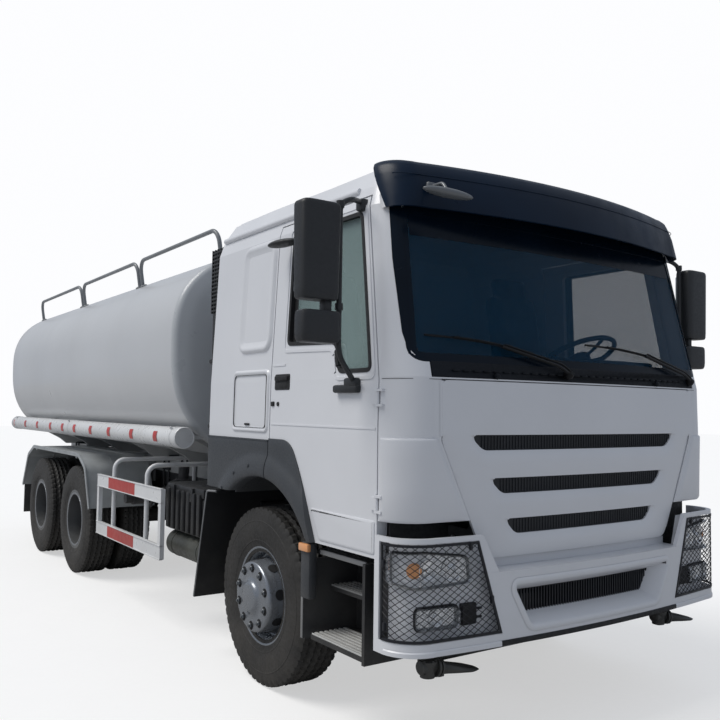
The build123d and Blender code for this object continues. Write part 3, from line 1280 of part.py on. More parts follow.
RAIL_SPANS = ((-6750, -4930), (-4850, -3070), (-2990, -1275))
RAIL_TUBE = 17
RAIL_FOOT_Y = 860
RAIL_TOP_Y = 900
RAIL_TOP_Z = 3010
with BuildPart() as top_rails:
    for rear_x, front_x in RAIL_SPANS:
        for _, side in SIDES:
            bent_tube(((rear_x, side * RAIL_FOOT_Y, 2740), (rear_x, side * RAIL_TOP_Y, RAIL_TOP_Z),
                       (front_x, side * RAIL_TOP_Y, RAIL_TOP_Z), (front_x, side * RAIL_FOOT_Y, 2740)),
                      110, RAIL_TUBE)
    add(tank_form, mode=Mode.SUBTRACT)
save(top_rails, "top_rails")

HOSE_TUBE_Y = 1120
HOSE_TUBE_Z = 1415
HOSE_TUBE_RADIUS = 78
with BuildPart() as hose_tubes:
    for _, side in SIDES:
        rod((-6850, side * HOSE_TUBE_Y, HOSE_TUBE_Z), (-1300, side * HOSE_TUBE_Y, HOSE_TUBE_Z),
            HOSE_TUBE_RADIUS)
        for x in (-6750, -5650, -4300, -2900, -1430):
            block(x, x + 50, side * 900, side * (HOSE_TUBE_Y - 60), HOSE_TUBE_Z - 15, HOSE_TUBE_Z + 15)
    add(tank_form, mode=Mode.SUBTRACT)
save(hose_tubes, "hose_tubes")

# ---------------------------------------------------------------- rear end
UNDERRUN_X = -7135
UNDERRUN_HALF = 940
with BuildPart() as rear_underrun:
    block(UNDERRUN_X, UNDERRUN_X + 85, -UNDERRUN_HALF, UNDERRUN_HALF, 520, 640)
    for _, side in SIDES:
        block(UNDERRUN_X + 20, UNDERRUN_X + 85, side * FRAME_INNER_Y, side * FRAME_HALF_WIDTH, 600, 960)
        block(UNDERRUN_X + 30, UNDERRUN_X + 85, side * FRAME_INNER_Y, side * UNDERRUN_HALF, 760, 880)
save(rear_underrun, "rear_underrun")

with BuildPart() as tail_lamps:
    for _, side in SIDES:
        block(UNDERRUN_X + 2, UNDERRUN_X + 30, side * 560, side * (UNDERRUN_HALF - 20), 770, 870)
save(tail_lamps, "tail_lamps")

LADDER_X = -7010
LADDER_TUBE = 16
LADDER_HALF = 190
with BuildPart() as rear_ladder:
    for _, side in SIDES:
        rod((LADDER_X, side * LADDER_HALF, FRAME_TOP + 10), (LADDER_X, side * LADDER_HALF, 2860), LADDER_TUBE)
        for z in (1500, 2600):
            rod((LADDER_X, side * LADDER_HALF, z), (TANK_REAR_X + 20, side * LADDER_HALF, z), LADDER_TUBE)
    for count in range(7):
        z = 1060 + 280 * count
        rod((LADDER_X, -LADDER_HALF, z), (LADDER_X, LADDER_HALF, z), LADDER_TUBE - 3)
    add(tank_form, mode=Mode.SUBTRACT)
save(rear_ladder, "rear_ladder")
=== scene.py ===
from math import ceil, copysign, cos, hypot, pi, radians, sin, sqrt

import bmesh
import bpy
from mathutils import Matrix, Vector
from mathutils.geometry import delaunay_2d_cdt


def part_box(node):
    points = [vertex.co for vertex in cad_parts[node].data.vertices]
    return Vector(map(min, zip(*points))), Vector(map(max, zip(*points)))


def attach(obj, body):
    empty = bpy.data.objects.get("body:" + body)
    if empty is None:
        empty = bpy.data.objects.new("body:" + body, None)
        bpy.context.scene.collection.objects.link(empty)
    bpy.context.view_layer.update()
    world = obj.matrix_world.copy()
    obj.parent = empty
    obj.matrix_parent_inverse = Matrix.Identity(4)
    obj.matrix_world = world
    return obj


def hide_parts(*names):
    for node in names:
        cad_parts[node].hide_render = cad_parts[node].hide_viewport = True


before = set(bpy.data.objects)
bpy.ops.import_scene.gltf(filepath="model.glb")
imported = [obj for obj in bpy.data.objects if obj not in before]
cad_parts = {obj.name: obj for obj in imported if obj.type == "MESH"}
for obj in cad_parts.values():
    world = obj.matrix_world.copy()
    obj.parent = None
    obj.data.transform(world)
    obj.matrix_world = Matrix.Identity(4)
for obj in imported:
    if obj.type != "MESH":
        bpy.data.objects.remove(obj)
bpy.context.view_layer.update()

# ------------------------------------------------------------------ ladder frame
# Two pressed steel channels with riveted cross members, brushed over with black chassis paint.
# Everything else on the vehicle is bolted to them, so road dust settles thickest here.
FRONT_AXLE = 2.785
SIDES = (("right", -1), ("left", 1))
ROAD_DUST = (0.30, 0.27, 0.23, 1)


def at(x, y, z):
    """A place measured from the front axle, in the frame of the whole vehicle."""
    return Vector((FRONT_AXLE + x, y, z))


def finish(name, colour, rough=0.5, metal=0.0, vary=0.06, patch=2.5, grain=90.0, bump=0.15,
           dust=0.0, dust_top=1.1, dust_colour=ROAD_DUST, **sockets):
    """A surface with patches of slightly different shade, uneven gloss, fine texture and dust low down."""
    material = bpy.data.materials.new(name)
    material.use_nodes = True
    nodes = material.node_tree.nodes
    join = material.node_tree.links.new
    shader = nodes["Principled BSDF"]
    place = nodes.new("ShaderNodeTexCoord").outputs["Object"]

    def cloud(scale, detail=5):
        texture = nodes.new("ShaderNodeTexNoise")
        texture.inputs["Scale"].default_value = scale
        texture.inputs["Detail"].default_value = detail
        join(place, texture.inputs["Vector"])
        return texture.outputs["Fac"]

    def spread(source, low, high, out_low, out_high):
        reach = nodes.new("ShaderNodeMapRange")
        for socket, value in zip(reach.inputs[1:5], (low, high, out_low, out_high)):
            socket.default_value = value
        join(source, reach.inputs[0])
        return reach.outputs[0]

    shade = nodes.new("ShaderNodeValToRGB")
    for element, place_on, factor in zip(shade.color_ramp.elements, (0.3, 0.7), (1 - vary, 1 + vary)):
        element.position = place_on
        element.color = [min(1, c * factor) for c in colour[:3]] + [1]
    join(cloud(patch), shade.inputs["Fac"])
    shown = shade.outputs["Color"]
    if dust:
        height = nodes.new("ShaderNodeSeparateXYZ")
        join(place, height.inputs[0])
        low_down = spread(height.outputs["Z"], 0.1, dust_top, dust, 0.0)
        amount = nodes.new("ShaderNodeMath")
        amount.operation = "MULTIPLY"
        join(low_down, amount.inputs[0])
        join(spread(cloud(7.0, 8), 0.35, 0.7, 0.25, 1.0), amount.inputs[1])
        blend = nodes.new("ShaderNodeMix")
        blend.data_type = "RGBA"
        blend.inputs[7].default_value = dust_colour
        join(amount.outputs[0], blend.inputs[0])
        join(shown, blend.inputs[6])
        shown = blend.outputs[2]
    join(shown, shader.inputs["Base Color"])
    join(spread(cloud(grain / 4), 0.3, 0.7, max(0.02, rough * 0.8), min(1, rough * 1.25)),
         shader.inputs["Roughness"])
    if bump:
        relief = nodes.new("ShaderNodeBump")
        relief.inputs["Strength"].default_value = bump
        relief.inputs["Distance"].default_value = 0.002
        join(cloud(grain, 3), relief.inputs["Height"])
        join(relief.outputs["Normal"], shader.inputs["Normal"])
    shader.inputs["Metallic"].default_value = metal
    for key, value in sockets.items():
        shader.inputs[key.replace("_", " ")].default_value = value
    material.diffuse_color = list(colour[:3]) + [1]
    return material


def coat(node, material):
    """Gives a node that is shown as it is its real finish."""
    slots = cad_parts[node].data.materials
    slots.clear()
    slots.append(material)


def piece_from(mesh, name, body, material, nodes=(), smooth=35):
    """A new piece from a bmesh in the vehicle's frame, riding on a body and standing for nodes."""
    data = bpy.data.meshes.new(name)
    bmesh.ops.recalc_face_normals(mesh, faces=mesh.faces)
    mesh.to_mesh(data)
    mesh.free()
    data.materials.append(material)
    piece = bpy.data.objects.new(name, data)
    bpy.context.scene.collection.objects.link(piece)
    data.shade_smooth()
    data.set_sharp_from_angle(angle=radians(smooth))
    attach(piece, body)
    if nodes:
        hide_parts(*nodes)
    return piece


def circle(steps, start=0.0):
    """Even turns round a full circle, the first one start of a step past zero."""
    return [2 * pi * (k + start) / steps for k in range(steps)]


def add_skin(mesh, rows, closed=False, capped=False):
    """Joins rows of points with faces; a closed row's last point joins its first."""
    for near, far in zip(rows, rows[1:]):
        for k in range(0 if closed else 1, len(near)):
            mesh.faces.new((near[k - 1], near[k], far[k], far[k - 1]))
    if capped:
        mesh.faces.new(rows[0])
        mesh.faces.new(rows[-1][::-1])


def add_sheet(mesh, places, closed=False, capped=False):
    """Skins rows of places the way add_skin does, and returns their vertices."""
    rows = [[mesh.verts.new(place) for place in row] for row in places]
    add_skin(mesh, rows, closed, capped)
    return rows


def add_box(mesh, low, high, edge=0.004):
    """A box between two corners with softened edges."""
    made = bmesh.ops.create_cube(mesh, size=1)["verts"]
    size = Vector([abs(h - l) for l, h in zip(low, high)])
    bmesh.ops.scale(mesh, vec=size, verts=made)
    bmesh.ops.translate(mesh, vec=(Vector(low) + Vector(high)) / 2, verts=made)
    if edge:
        bmesh.ops.bevel(mesh, geom=list({e for v in made for e in v.link_edges}),
                        offset=min(edge, min(size) * 0.3), segments=2, profile=0.5, affect="EDGES")


def add_boxes(mesh, *boxes):
    """Boxes as low corner and high corner from the front axle, with the softening of their edges."""
    for *corners, edge in boxes:
        add_box(mesh, at(*corners[:3]), at(*corners[3:]), edge)


def add_block(mesh, middle, reach, edge):
    """A box about its middle, reaching the same way out on both sides of it."""
    add_box(mesh, middle - Vector(reach), middle + Vector(reach), edge)


def add_lathe(mesh, outline, centre, axis, steps=48, closed=False):
    """Turns an outline of (distance along the axis, radius) about an axis through centre."""
    axis = Vector(axis).normalized()
    side = axis.orthogonal().normalized()
    other = axis.cross(side)
    rings = [[mesh.verts.new(Vector(centre) + axis * along + (side * cos(a) + other * sin(a)) * radius)
              for a in circle(steps)] for along, radius in outline]
    add_skin(mesh, rings + rings[:1] if closed else rings, True, not closed)


def add_bolt(mesh, place, axis, radius=0.012, height=0.012):
    """A hexagon bolt head with a chamfered crown."""
    add_lathe(mesh, ((0, radius), (height * 0.7, radius), (height, radius * 0.8)), place, axis, 6)


def bent(back, here, ahead, cut, parts):
    """The corner at here as a smooth bend that starts no further than cut from it."""
    back = back - here
    ahead = ahead - here
    cut = min(cut, back.length * 0.45, ahead.length * 0.45)
    start = here + back.normalized() * cut
    end = here + ahead.normalized() * cut
    return [start * (1 - t) ** 2 + here * 2 * t * (1 - t) + end * t ** 2
            for t in [part / parts for part in range(parts + 1)]]


def add_tube(mesh, places, radius, steps=10, bend=0.06):
    """A round tube through places, with its corners bent smoothly."""
    places = [Vector(place) for place in places]
    run = places[:1]
    for corner in zip(places, places[1:], places[2:]):
        run += bent(*corner, bend, 4)
    run.append(places[-1])
    side = (run[1] - run[0]).normalized().orthogonal().normalized()
    rings = []
    for back, place, ahead in zip(run[:1] + run, run, run[1:] + run[-1:]):
        way = (ahead - back).normalized()
        side = (side - way * side.dot(way)).normalized()
        other = way.cross(side)
        rings.append([place + (side * cos(a) + other * sin(a)) * radius for a in circle(steps)])
    add_sheet(mesh, rings, True, True)


chassis_black = finish("chassis_black", (0.020, 0.022, 0.025), 0.5, vary=0.25, dust=0.22, grain=60)
cast_black = finish("cast_black", (0.035, 0.035, 0.038), 0.62, vary=0.2, bump=0.5, grain=140, dust=0.3)
bare_steel = finish("bare_steel", (0.42, 0.42, 0.42), 0.4, metal=0.9, vary=0.15, grain=200)
for node in ("chassis_frame", "prop_shafts", "rear_underrun"):
    coat(node, chassis_black)
rivets = bmesh.new()
for _, side in SIDES:
    for x in [0.9 - 0.42 * k for k in range(19)]:
        for z in (0.76, 0.94):
            add_bolt(rivets, at(x, side * 0.429, z), (0, side, 0), 0.014, 0.012)
piece_from(rivets, "frame_rivets", "chassis", bare_steel)

# ------------------------------------------------------------------ axles, springs and knuckles
# Forged front beam and two cast drive axles under stacks of curved spring leaves.
# Castings are rough and black; the leaves are clamped by pairs of U-bolts.
leaf_steel = finish("leaf_steel", (0.05, 0.048, 0.047), 0.55, metal=0.3, vary=0.3, dust=0.35, grain=40)
for node in ("front_axle", "drive_axles", "knuckle_left", "knuckle_right"):
    coat(node, cast_black)
coat("leaf_springs", leaf_steel)
clamps = bmesh.new()
for _, side in SIDES:
    for axle_x, y, z in ((0, 0.40, 0.40), (-4.5, 0.492, 0.69)):
        for x in (axle_x - 0.09, axle_x + 0.09):
            add_boxes(clamps, (x - 0.012, side * y - 0.06, z, x + 0.012, side * y + 0.06, z + 0.1, 0.003))
            for y_bolt in (-0.045, 0.045):
                add_bolt(clamps, at(x, side * y + y_bolt, z + 0.1), (0, 0, 1), 0.014, 0.02)
piece_from(clamps, "spring_clamps", "chassis", cast_black)

# ------------------------------------------------------------------ engine and radiator
# An in-line diesel with its gearbox under the cab floor, and a finned aluminium radiator ahead of it.
# Only the sump, gearbox ribs and the core's fins are seen, from below and through the front.
engine_grey = finish("engine_grey", (0.10, 0.12, 0.11), 0.6, metal=0.2, vary=0.3, dust=0.35, dust_top=1.3)
radiator_alloy = finish("radiator_alloy", (0.22, 0.22, 0.23), 0.5, metal=0.7, vary=0.2, dust=0.3)
block = bmesh.new()
add_boxes(block, (-0.348, -0.328, 0.80, 0.838, 0.328, 1.20, 0.02), (-0.30, -0.24, 0.642, 0.80, 0.24, 0.81, 0.03),
          (-0.32, -0.22, 1.20, 0.80, 0.22, 1.388, 0.03), (-1.29, -0.215, 0.655, -0.34, 0.215, 1.045, 0.05))
for k in range(9):
    x = -1.22 + 0.1 * k
    add_boxes(block, (x, -0.218, 0.645, x + 0.02, 0.218, 1.048, 0.004))
for k in range(6):
    x = -0.2 + 0.18 * k
    for _, side in SIDES:
        add_lathe(block, ((0, 0.05), (0.08, 0.045), (0.09, 0.03)), at(x, side * 0.23, 1.1), (0, side, 0), 12)
for x in (-0.29, 0.68):
    for _, side in SIDES:
        add_boxes(block, (x, side * 0.31, 0.80, x + 0.1, side * 0.421, 0.88, 0.008))
piece_from(block, "engine_block", "chassis", engine_grey, ["engine"])
core = bmesh.new()
low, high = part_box("radiator")
for y in (low.y, high.y - 0.04):
    add_box(core, (low.x, y, low.z), (high.x, y + 0.04, high.z), 0.006)
for z in (low.z, high.z - 0.07):
    add_box(core, (low.x, low.y, z), (high.x, high.y, z + 0.07), 0.012)
add_box(core, (low.x + 0.02, low.y + 0.02, low.z + 0.02), (high.x - 0.02, high.y - 0.02, high.z - 0.02), 0)
for k in range(36):
    z = low.z + 0.08 + k * (high.z - low.z - 0.16) / 36
    add_box(core, (high.x - 0.022, low.y + 0.03, z), (high.x - 0.004, high.y - 0.03, z + 0.006), 0)
piece_from(core, "radiator_core", "chassis", radiator_alloy, ["radiator"])

# ------------------------------------------------------------------ tyres
# Steel-cord rubber tyres with lugged shoulders, zigzag centre grooves and raised rings on the side.
# They are black but dusty where they meet the road.
TYRE_RADIUS = 0.525
TREAD_PITCHES = 56
PARTS_A_PITCH = 4
GROOVES = (-0.07, -0.024, 0.024, 0.07)
rubber = finish("tyre_rubber", (0.020, 0.019, 0.018), 0.66, vary=0.3, patch=5, grain=220, bump=0.3,
                dust=0.22, dust_top=1.1, dust_colour=(0.13, 0.115, 0.095, 1))


def tyre_outline():
    """Half section of a tyre as (across, radius) from the inner bead, over the tread, to the outer bead."""
    side = [(0.118, 0.256), (0.1245, 0.285), (0.131, 0.30), (0.1315, 0.304), (0.1375, 0.322),
            (0.139, 0.323), (0.1395, 0.327), (0.1385, 0.329), (0.1445, 0.36), (0.1462, 0.386),
            (0.1445, 0.42), (0.1428, 0.436), (0.1438, 0.438), (0.1432, 0.443), (0.1415, 0.445),
            (0.137, 0.475), (0.1315, 0.498)]
    tread = [(0.122, 0.5195), (0.112, 0.5215), (0.092, 0.5225), (0.0785, 0.523), (0.0765, 0.523),
             (0.0635, 0.5235), (0.0615, 0.5235), (0.045, 0.524), (0.0305, 0.5242), (0.0285, 0.5242),
             (0.0175, 0.5243), (0.0155, 0.5243), (0.0, 0.5244)]
    half = side + tread
    return [(-a, r) for a, r in half] + [(a, r) for a, r in reversed(half[:-1])]


def add_tyre(mesh, centre, outward):
    """One tyre about centre, with its tread cut into the turned outline."""
    rings = []
    for step, angle in enumerate(circle(TREAD_PITCHES * PARTS_A_PITCH)):
        part = step % PARTS_A_PITCH
        swing = 0.004 if part < PARTS_A_PITCH / 2 else -0.004
        ring = []
        for across, radius in tyre_outline():
            depth = 0.0
            if radius > 0.515:
                if any(abs(across - groove) < 0.009 for groove in GROOVES):
                    depth = 0.013
                if abs(across) < 0.118:
                    across += swing
            if abs(across) > 0.1 and radius > 0.49 and part == 0:
                depth = 0.012
            if 0.095 > abs(across) > 0.03 and part == 2 and radius > 0.515 and not depth:
                depth = 0.004
            reach = radius - depth
            ring.append(mesh.verts.new(centre + Vector((cos(angle) * reach, outward * across, sin(angle) * reach))))
        rings.append(ring)
    add_skin(mesh, rings + rings[:1], True)


WHEELS = [(f"{label}_{side_name}", axle_x, tyre_lines, side)
          for label, axle_x, tyre_lines in (("front", 0.0, (1.025,)), ("mid", -3.825, (1.072, 0.742)),
                                            ("rear", -5.175, (1.072, 0.742))) for side_name, side in SIDES]
for name, axle_x, tyre_lines, side in WHEELS:
    casing = bmesh.new()
    for line in tyre_lines:
        add_tyre(casing, at(axle_x, side * line, TYRE_RADIUS), side)
    piece_from(casing, f"tread_{name}", f"wheel_{name}", rubber, [f"{name}_tyre"], smooth=28)

# ------------------------------------------------------------------ rims
# Pressed steel discs sprayed silver, held by ten nuts round a hub cap. The steered wheel's disc
# stands outwards, and the driven wheels' discs are deep dishes with the axle's hub inside.
NUTS = 10
HAND_HOLES = 8
NUT_CIRCLE = 0.1675
rim_silver = finish("rim_silver", (0.27, 0.29, 0.32), 0.27, metal=0.7, vary=0.12, grain=70,
                    dust=0.3, dust_top=1.0, dust_colour=(0.22, 0.20, 0.17, 1))
# Dark grey for the driven wheels' discs: painted shade for the shadow inside their deep dishes, which are silver steel.
rim_dish_shade = finish("rim_dish_shade", (0.13, 0.135, 0.14), 0.4, metal=0.45, vary=0.2, grain=70,
                  dust=0.3, dust_top=1.0, dust_colour=(0.16, 0.14, 0.11, 1))
nut_steel = finish("nut_steel", (0.16, 0.17, 0.18), 0.35, metal=0.8, vary=0.25, grain=200)
# Near black: painted shade for the hand holes' shadowed openings and for the recesses round the nut seats.
hole_shade_black = finish("hole_shade_black", (0.006, 0.006, 0.007), 0.7, vary=0.3)
RIM_TURN = (
    # out from the wheel's middle along the axle, and radius, from the cap round the lip to the brake side
    (1.240, 0.001), (1.2395, 0.070), (1.237, 0.082), (1.230, 0.090), (1.2225, 0.096), (1.2175, 0.108),
    (1.2155, 0.120), (1.2150, 0.132), (1.2150, 0.190), (1.2135, 0.1965), (1.2095, 0.2020), (1.202, 0.2055),
    (1.185, 0.2085), (1.135, 0.2150), (1.095, 0.2215), (1.078, 0.2275), (1.0705, 0.2345), (1.0725, 0.2400),
    (1.085, 0.2420), (1.118, 0.2460), (1.134, 0.2550), (1.1435, 0.2700), (1.1500, 0.2800), (1.1512, 0.2865),
    (1.1490, 0.2905), (1.1440, 0.2900), (1.1380, 0.2860), (1.138, 0.254), (0.912, 0.254), (0.912, 0.290),
    (0.900, 0.290), (0.900, 0.240), (1.045, 0.238), (1.052, 0.215), (1.195, 0.196), (1.199, 0.100), (1.199, 0.001),
)
for name, axle_x, _, side in WHEELS:
    front_wheel = name.startswith("front")
    hub = at(axle_x, 0, TYRE_RADIUS)
    outward = (0, side, 0)
    disc = 1.215 if front_wheel else 0.928
    seats = [hub + Vector((cos(a) * NUT_CIRCLE, side * disc, sin(a) * NUT_CIRCLE)) for a in circle(NUTS, 0.5)]
    if front_wheel:
        rim = bmesh.new()
        add_lathe(rim, RIM_TURN, hub, outward, 96)
        piece_from(rim, f"rim_{name}", f"wheel_{name}", rim_silver, [f"{name}_rim"], smooth=32)
        # Black ovals on the disc are painted shade standing in for the hand holes, and thin black rings round the nut
        # seats are painted shade in their recesses.
        holes = bmesh.new()
        for angle in circle(HAND_HOLES, 0.25):
            spoke = Vector((cos(angle), 0, sin(angle)))
            around = Vector((-sin(angle), 0, cos(angle)))
            oval = []
            for turn in circle(24):
                out = 1.140 + 0.030 * cos(turn)
                sweep = 0.031 * sin(turn)
                reach = 0.2215 - (out - 1.095) * 0.1444 + 0.0022
                place = at(axle_x, side * out, TYRE_RADIUS) + around * sweep
                oval.append(holes.verts.new(place + spoke * sqrt(reach ** 2 - sweep ** 2)))
            holes.faces.new(oval)
        for seat in seats:
            add_lathe(holes, ((-0.002, 0.0262), (0.0006, 0.0262)), seat, outward, 24)
        piece_from(holes, f"hand_holes_{name}", f"wheel_{name}", hole_shade_black)
    else:
        # The driven wheel's disc is painted shade, with a silver ring at its edge.
        coat(f"{name}_rim", rim_dish_shade)
        ring = bmesh.new()
        add_lathe(ring, ((1.180, 0.2405), (1.196, 0.2440), (1.1985, 0.2520), (1.1985, 0.2590), (1.1960, 0.2600)),
                  hub, outward, 80, closed=True)
        piece_from(ring, f"rim_edge_{name}", f"wheel_{name}", rim_silver)
    fittings = bmesh.new()
    for seat in seats:
        if not front_wheel:
            add_lathe(fittings, ((-0.004, 0.026), (0.0015, 0.026)), seat, outward, 20)
        add_lathe(fittings, ((0.0, 0.0165), (0.011, 0.0165), (0.014, 0.0135)), seat, outward, 6)
        add_lathe(fittings, ((0.01, 0.009), (0.019, 0.009), (0.0205, 0.007)), seat, outward, 12)
    piece_from(fittings, f"nuts_{name}", f"wheel_{name}", nut_steel)

# ------------------------------------------------------------------ water tank
# Rolled sheet steel welded end to end, with pressed heads whose rims turn in on a soft radius.
# Gloss white paint, faint weld lines round the shell and road film low down.
TANK_FRONT = -1.256
TANK_REAR = -6.930
TANK_HALF = 1.2155
TANK_MID = 2.138
TANK_RISE = 0.7805
TANK_DROP = 0.9285
TANK_POWERS = (2.6, 2.76)
TANK_STEPS = 128
HEAD_RADIUS = 0.055
HEAD_BULGE = 0.055
WELDS = (-2.66, -4.09, -5.51)
tank_white = finish("tank_white", (0.56, 0.57, 0.585), 0.34, vary=0.04, patch=0.9, grain=6, bump=0.05,
                    dust=0.25, dust_top=1.7, dust_colour=(0.52, 0.49, 0.44, 1), Coat_Weight=0.4,
                    Coat_Roughness=0.12)
# The front head is painted a darker grey than the shell: painted shade for the cab's shadow falling on it. The rear
# head keeps the shell's white.
shaded_head_grey = finish("shaded_head_grey", (0.46, 0.48, 0.50), 0.32, vary=0.06, patch=1.2, grain=30, bump=0.05,
                   dust=0.2, dust_top=1.7)


def tank_place(step, grow=0.0):
    """A place on the tank's section, pushed out by grow."""
    angle = 2 * pi * step / TANK_STEPS
    across = cos(angle)
    upward = sin(angle)
    power = TANK_POWERS[0] if upward >= 0 else TANK_POWERS[1]
    reach = TANK_RISE if upward >= 0 else TANK_DROP
    y = copysign(abs(across) ** (2 / power), across) * (TANK_HALF + grow)
    z = copysign(abs(upward) ** (2 / power), upward) * (reach + grow)
    return y, TANK_MID + z


def add_section_rings(mesh, stations):
    """Skins the tank through (x, grow) stations and returns its rings."""
    return add_sheet(mesh, [[at(x, *tank_place(step, grow)) for step in range(TANK_STEPS)] for x, grow in stations],
                     True)


def head_stations(face_x, inward):
    """Stations of a pressed head from its centre to the shell; inward is the way to the shell."""
    stations = []
    for squeeze in [0.06 + 0.66 * share for share in (1.0, 0.85, 0.7, 0.5, 0.3, 0.15, 0.05)]:
        stations.append((face_x + inward * HEAD_BULGE * (1 - sqrt((squeeze - 0.05) / 0.67) ** 0.9), -squeeze))
    for turn in [pi / 2 * k / 5 for k in range(6)]:
        stations.append((face_x + inward * (HEAD_BULGE + HEAD_RADIUS * (1 - cos(turn))),
                         HEAD_RADIUS * (sin(turn) - 1)))
    return stations


front_head = head_stations(TANK_FRONT, -1)
rear_head = head_stations(TANK_REAR, 1)
barrel = bmesh.new()
add_section_rings(barrel, [front_head[-1]] + [(-1.5 - 0.26 * k, 0.0) for k in range(20)] + [rear_head[-1]])
rear_rings = add_section_rings(barrel, rear_head)
barrel.faces.new(rear_rings[0])
bmesh.ops.remove_doubles(barrel, verts=barrel.verts, dist=0.0004)
for x in WELDS + (TANK_FRONT - 0.125, TANK_REAR + 0.125):
    add_section_rings(barrel, ((x - 0.005, 0.0002), (x, 0.0009), (x + 0.005, 0.0002)))
NECK = at(-4.65, 0, 0)
add_lathe(barrel, ((2.86, 0.289), (2.925, 0.289), (2.93, 0.305), (2.95, 0.305), (2.963, 0.29), (2.963, 0.27)),
          NECK, (0, 0, 1), 48)
for y in (-0.06, 0.06):
    add_boxes(barrel, (-4.987, y - 0.011, 2.89, -4.93, y + 0.011, 2.992, 0.006))
add_lathe(barrel, ((-0.07, 0.0075), (0.07, 0.0075)), at(-4.972, 0, 2.978), (0, 1, 0), 12)
piece_from(barrel, "tank_shell", "chassis", tank_white, ["water_tank"], smooth=40)
# The front head, in its painted-shade grey.
face = bmesh.new()
front_rings = add_section_rings(face, front_head)
face.faces.new(front_rings[0])
piece_from(face, "tank_head", "chassis", shaded_head_grey, smooth=40)

# manhole lid: a dished steel cover with a lift handle, closed by swing bolts round its rim
lid = bmesh.new()
add_lathe(lid, ((2.9635, 0.2815), (2.975, 0.2815), (2.985, 0.275), (2.991, 0.25), (2.988, 0.2), (2.992, 0.08),
                (2.9925, 0.0)), NECK, (0, 0, 1), 48)
add_boxes(lid, (-4.972, -0.035, 2.968, -4.9, 0.035, 2.988, 0.004))
add_lathe(lid, ((-0.035, 0.0135), (0.035, 0.0135)), at(-4.972, 0, 2.978), (0, 1, 0), 16)
add_tube(lid, [at(-4.5, y, z) for y, z in ((-0.062, 2.985), (-0.062, 3.022), (0.062, 3.022), (0.062, 2.985))],
         0.0085, bend=0.02)
for angle in circle(6, 0.5):
    clamp = at(-4.65 + 0.262 * cos(angle), 0.262 * sin(angle), 2.985)
    if abs(clamp.y) > 0.08:
        add_box(lid, clamp - Vector((0.014, 0.014, 0.0)), clamp + Vector((0.014, 0.014, 0.016)), 0.003)
        add_lathe(lid, ((0.014, 0.01), (0.03, 0.01), (0.032, 0.006)), clamp, (0, 0, 1), 8)
piece_from(lid, "hatch_cover", "manhole_lid", tank_white, ["manhole_lid"])

# ------------------------------------------------------------------ tank cradle
# Two long timber-backed beams along the frame with plate saddles cut to the tank's underside.
# U-bolts clamp the beams down; all of it is painted white with the tank.
cradle_white = finish("cradle_white", (0.42, 0.43, 0.43), 0.45, vary=0.15, dust=0.3, dust_top=1.8)
for node in ("cradle_beams", "tank_saddles"):
    coat(node, cradle_white)
ties = bmesh.new()
for _, side in SIDES:
    for x in (-1.75, -2.9, -3.35, -4.9, -6.0, -6.5):
        for offset in (-0.06, 0.06):
            add_tube(ties, (at(x + offset, side * 0.444, 0.74), at(x + offset, side * 0.444, 1.16),
                            at(x + offset, side * 0.34, 1.16)), 0.010, 8, 0.02)
        add_boxes(ties, (x - 0.09, side * 0.432, 0.80, x + 0.09, side * 0.456, 0.86, 0.004),
                  (x - 0.09, side * 0.432, 1.02, x + 0.09, side * 0.452, 1.09, 0.004))
piece_from(ties, "cradle_ties", "chassis", chassis_black)

# ------------------------------------------------------------------ roof rails and ladder
# Bent steel tube hoops along both edges of the roof and a tube ladder up the back head.
# Their feet are fillet-welded to small pads on the shell.
rail_grey = finish("rail_grey", (0.20, 0.21, 0.22), 0.36, vary=0.12, dust=0.3, dust_top=2.0)
for node in ("top_rails", "rear_ladder"):
    coat(node, rail_grey)
RAIL_Y = 0.862
rail_z = TANK_MID + TANK_RISE * (1 - (RAIL_Y / TANK_HALF) ** TANK_POWERS[0]) ** (1 / TANK_POWERS[0])
pads = bmesh.new()
for start, end in ((-6.75, -4.93), (-4.85, -3.07), (-2.99, -1.275)):
    for x in (start + 0.02, end - 0.02):
        for _, side in SIDES:
            add_lathe(pads, ((0.0, 0.036), (0.012, 0.034), (0.02, 0.02)), at(x, side * RAIL_Y, rail_z - 0.006),
                      (0, side * 0.45, 1), 12)
piece_from(pads, "rail_feet", "chassis", rail_grey)

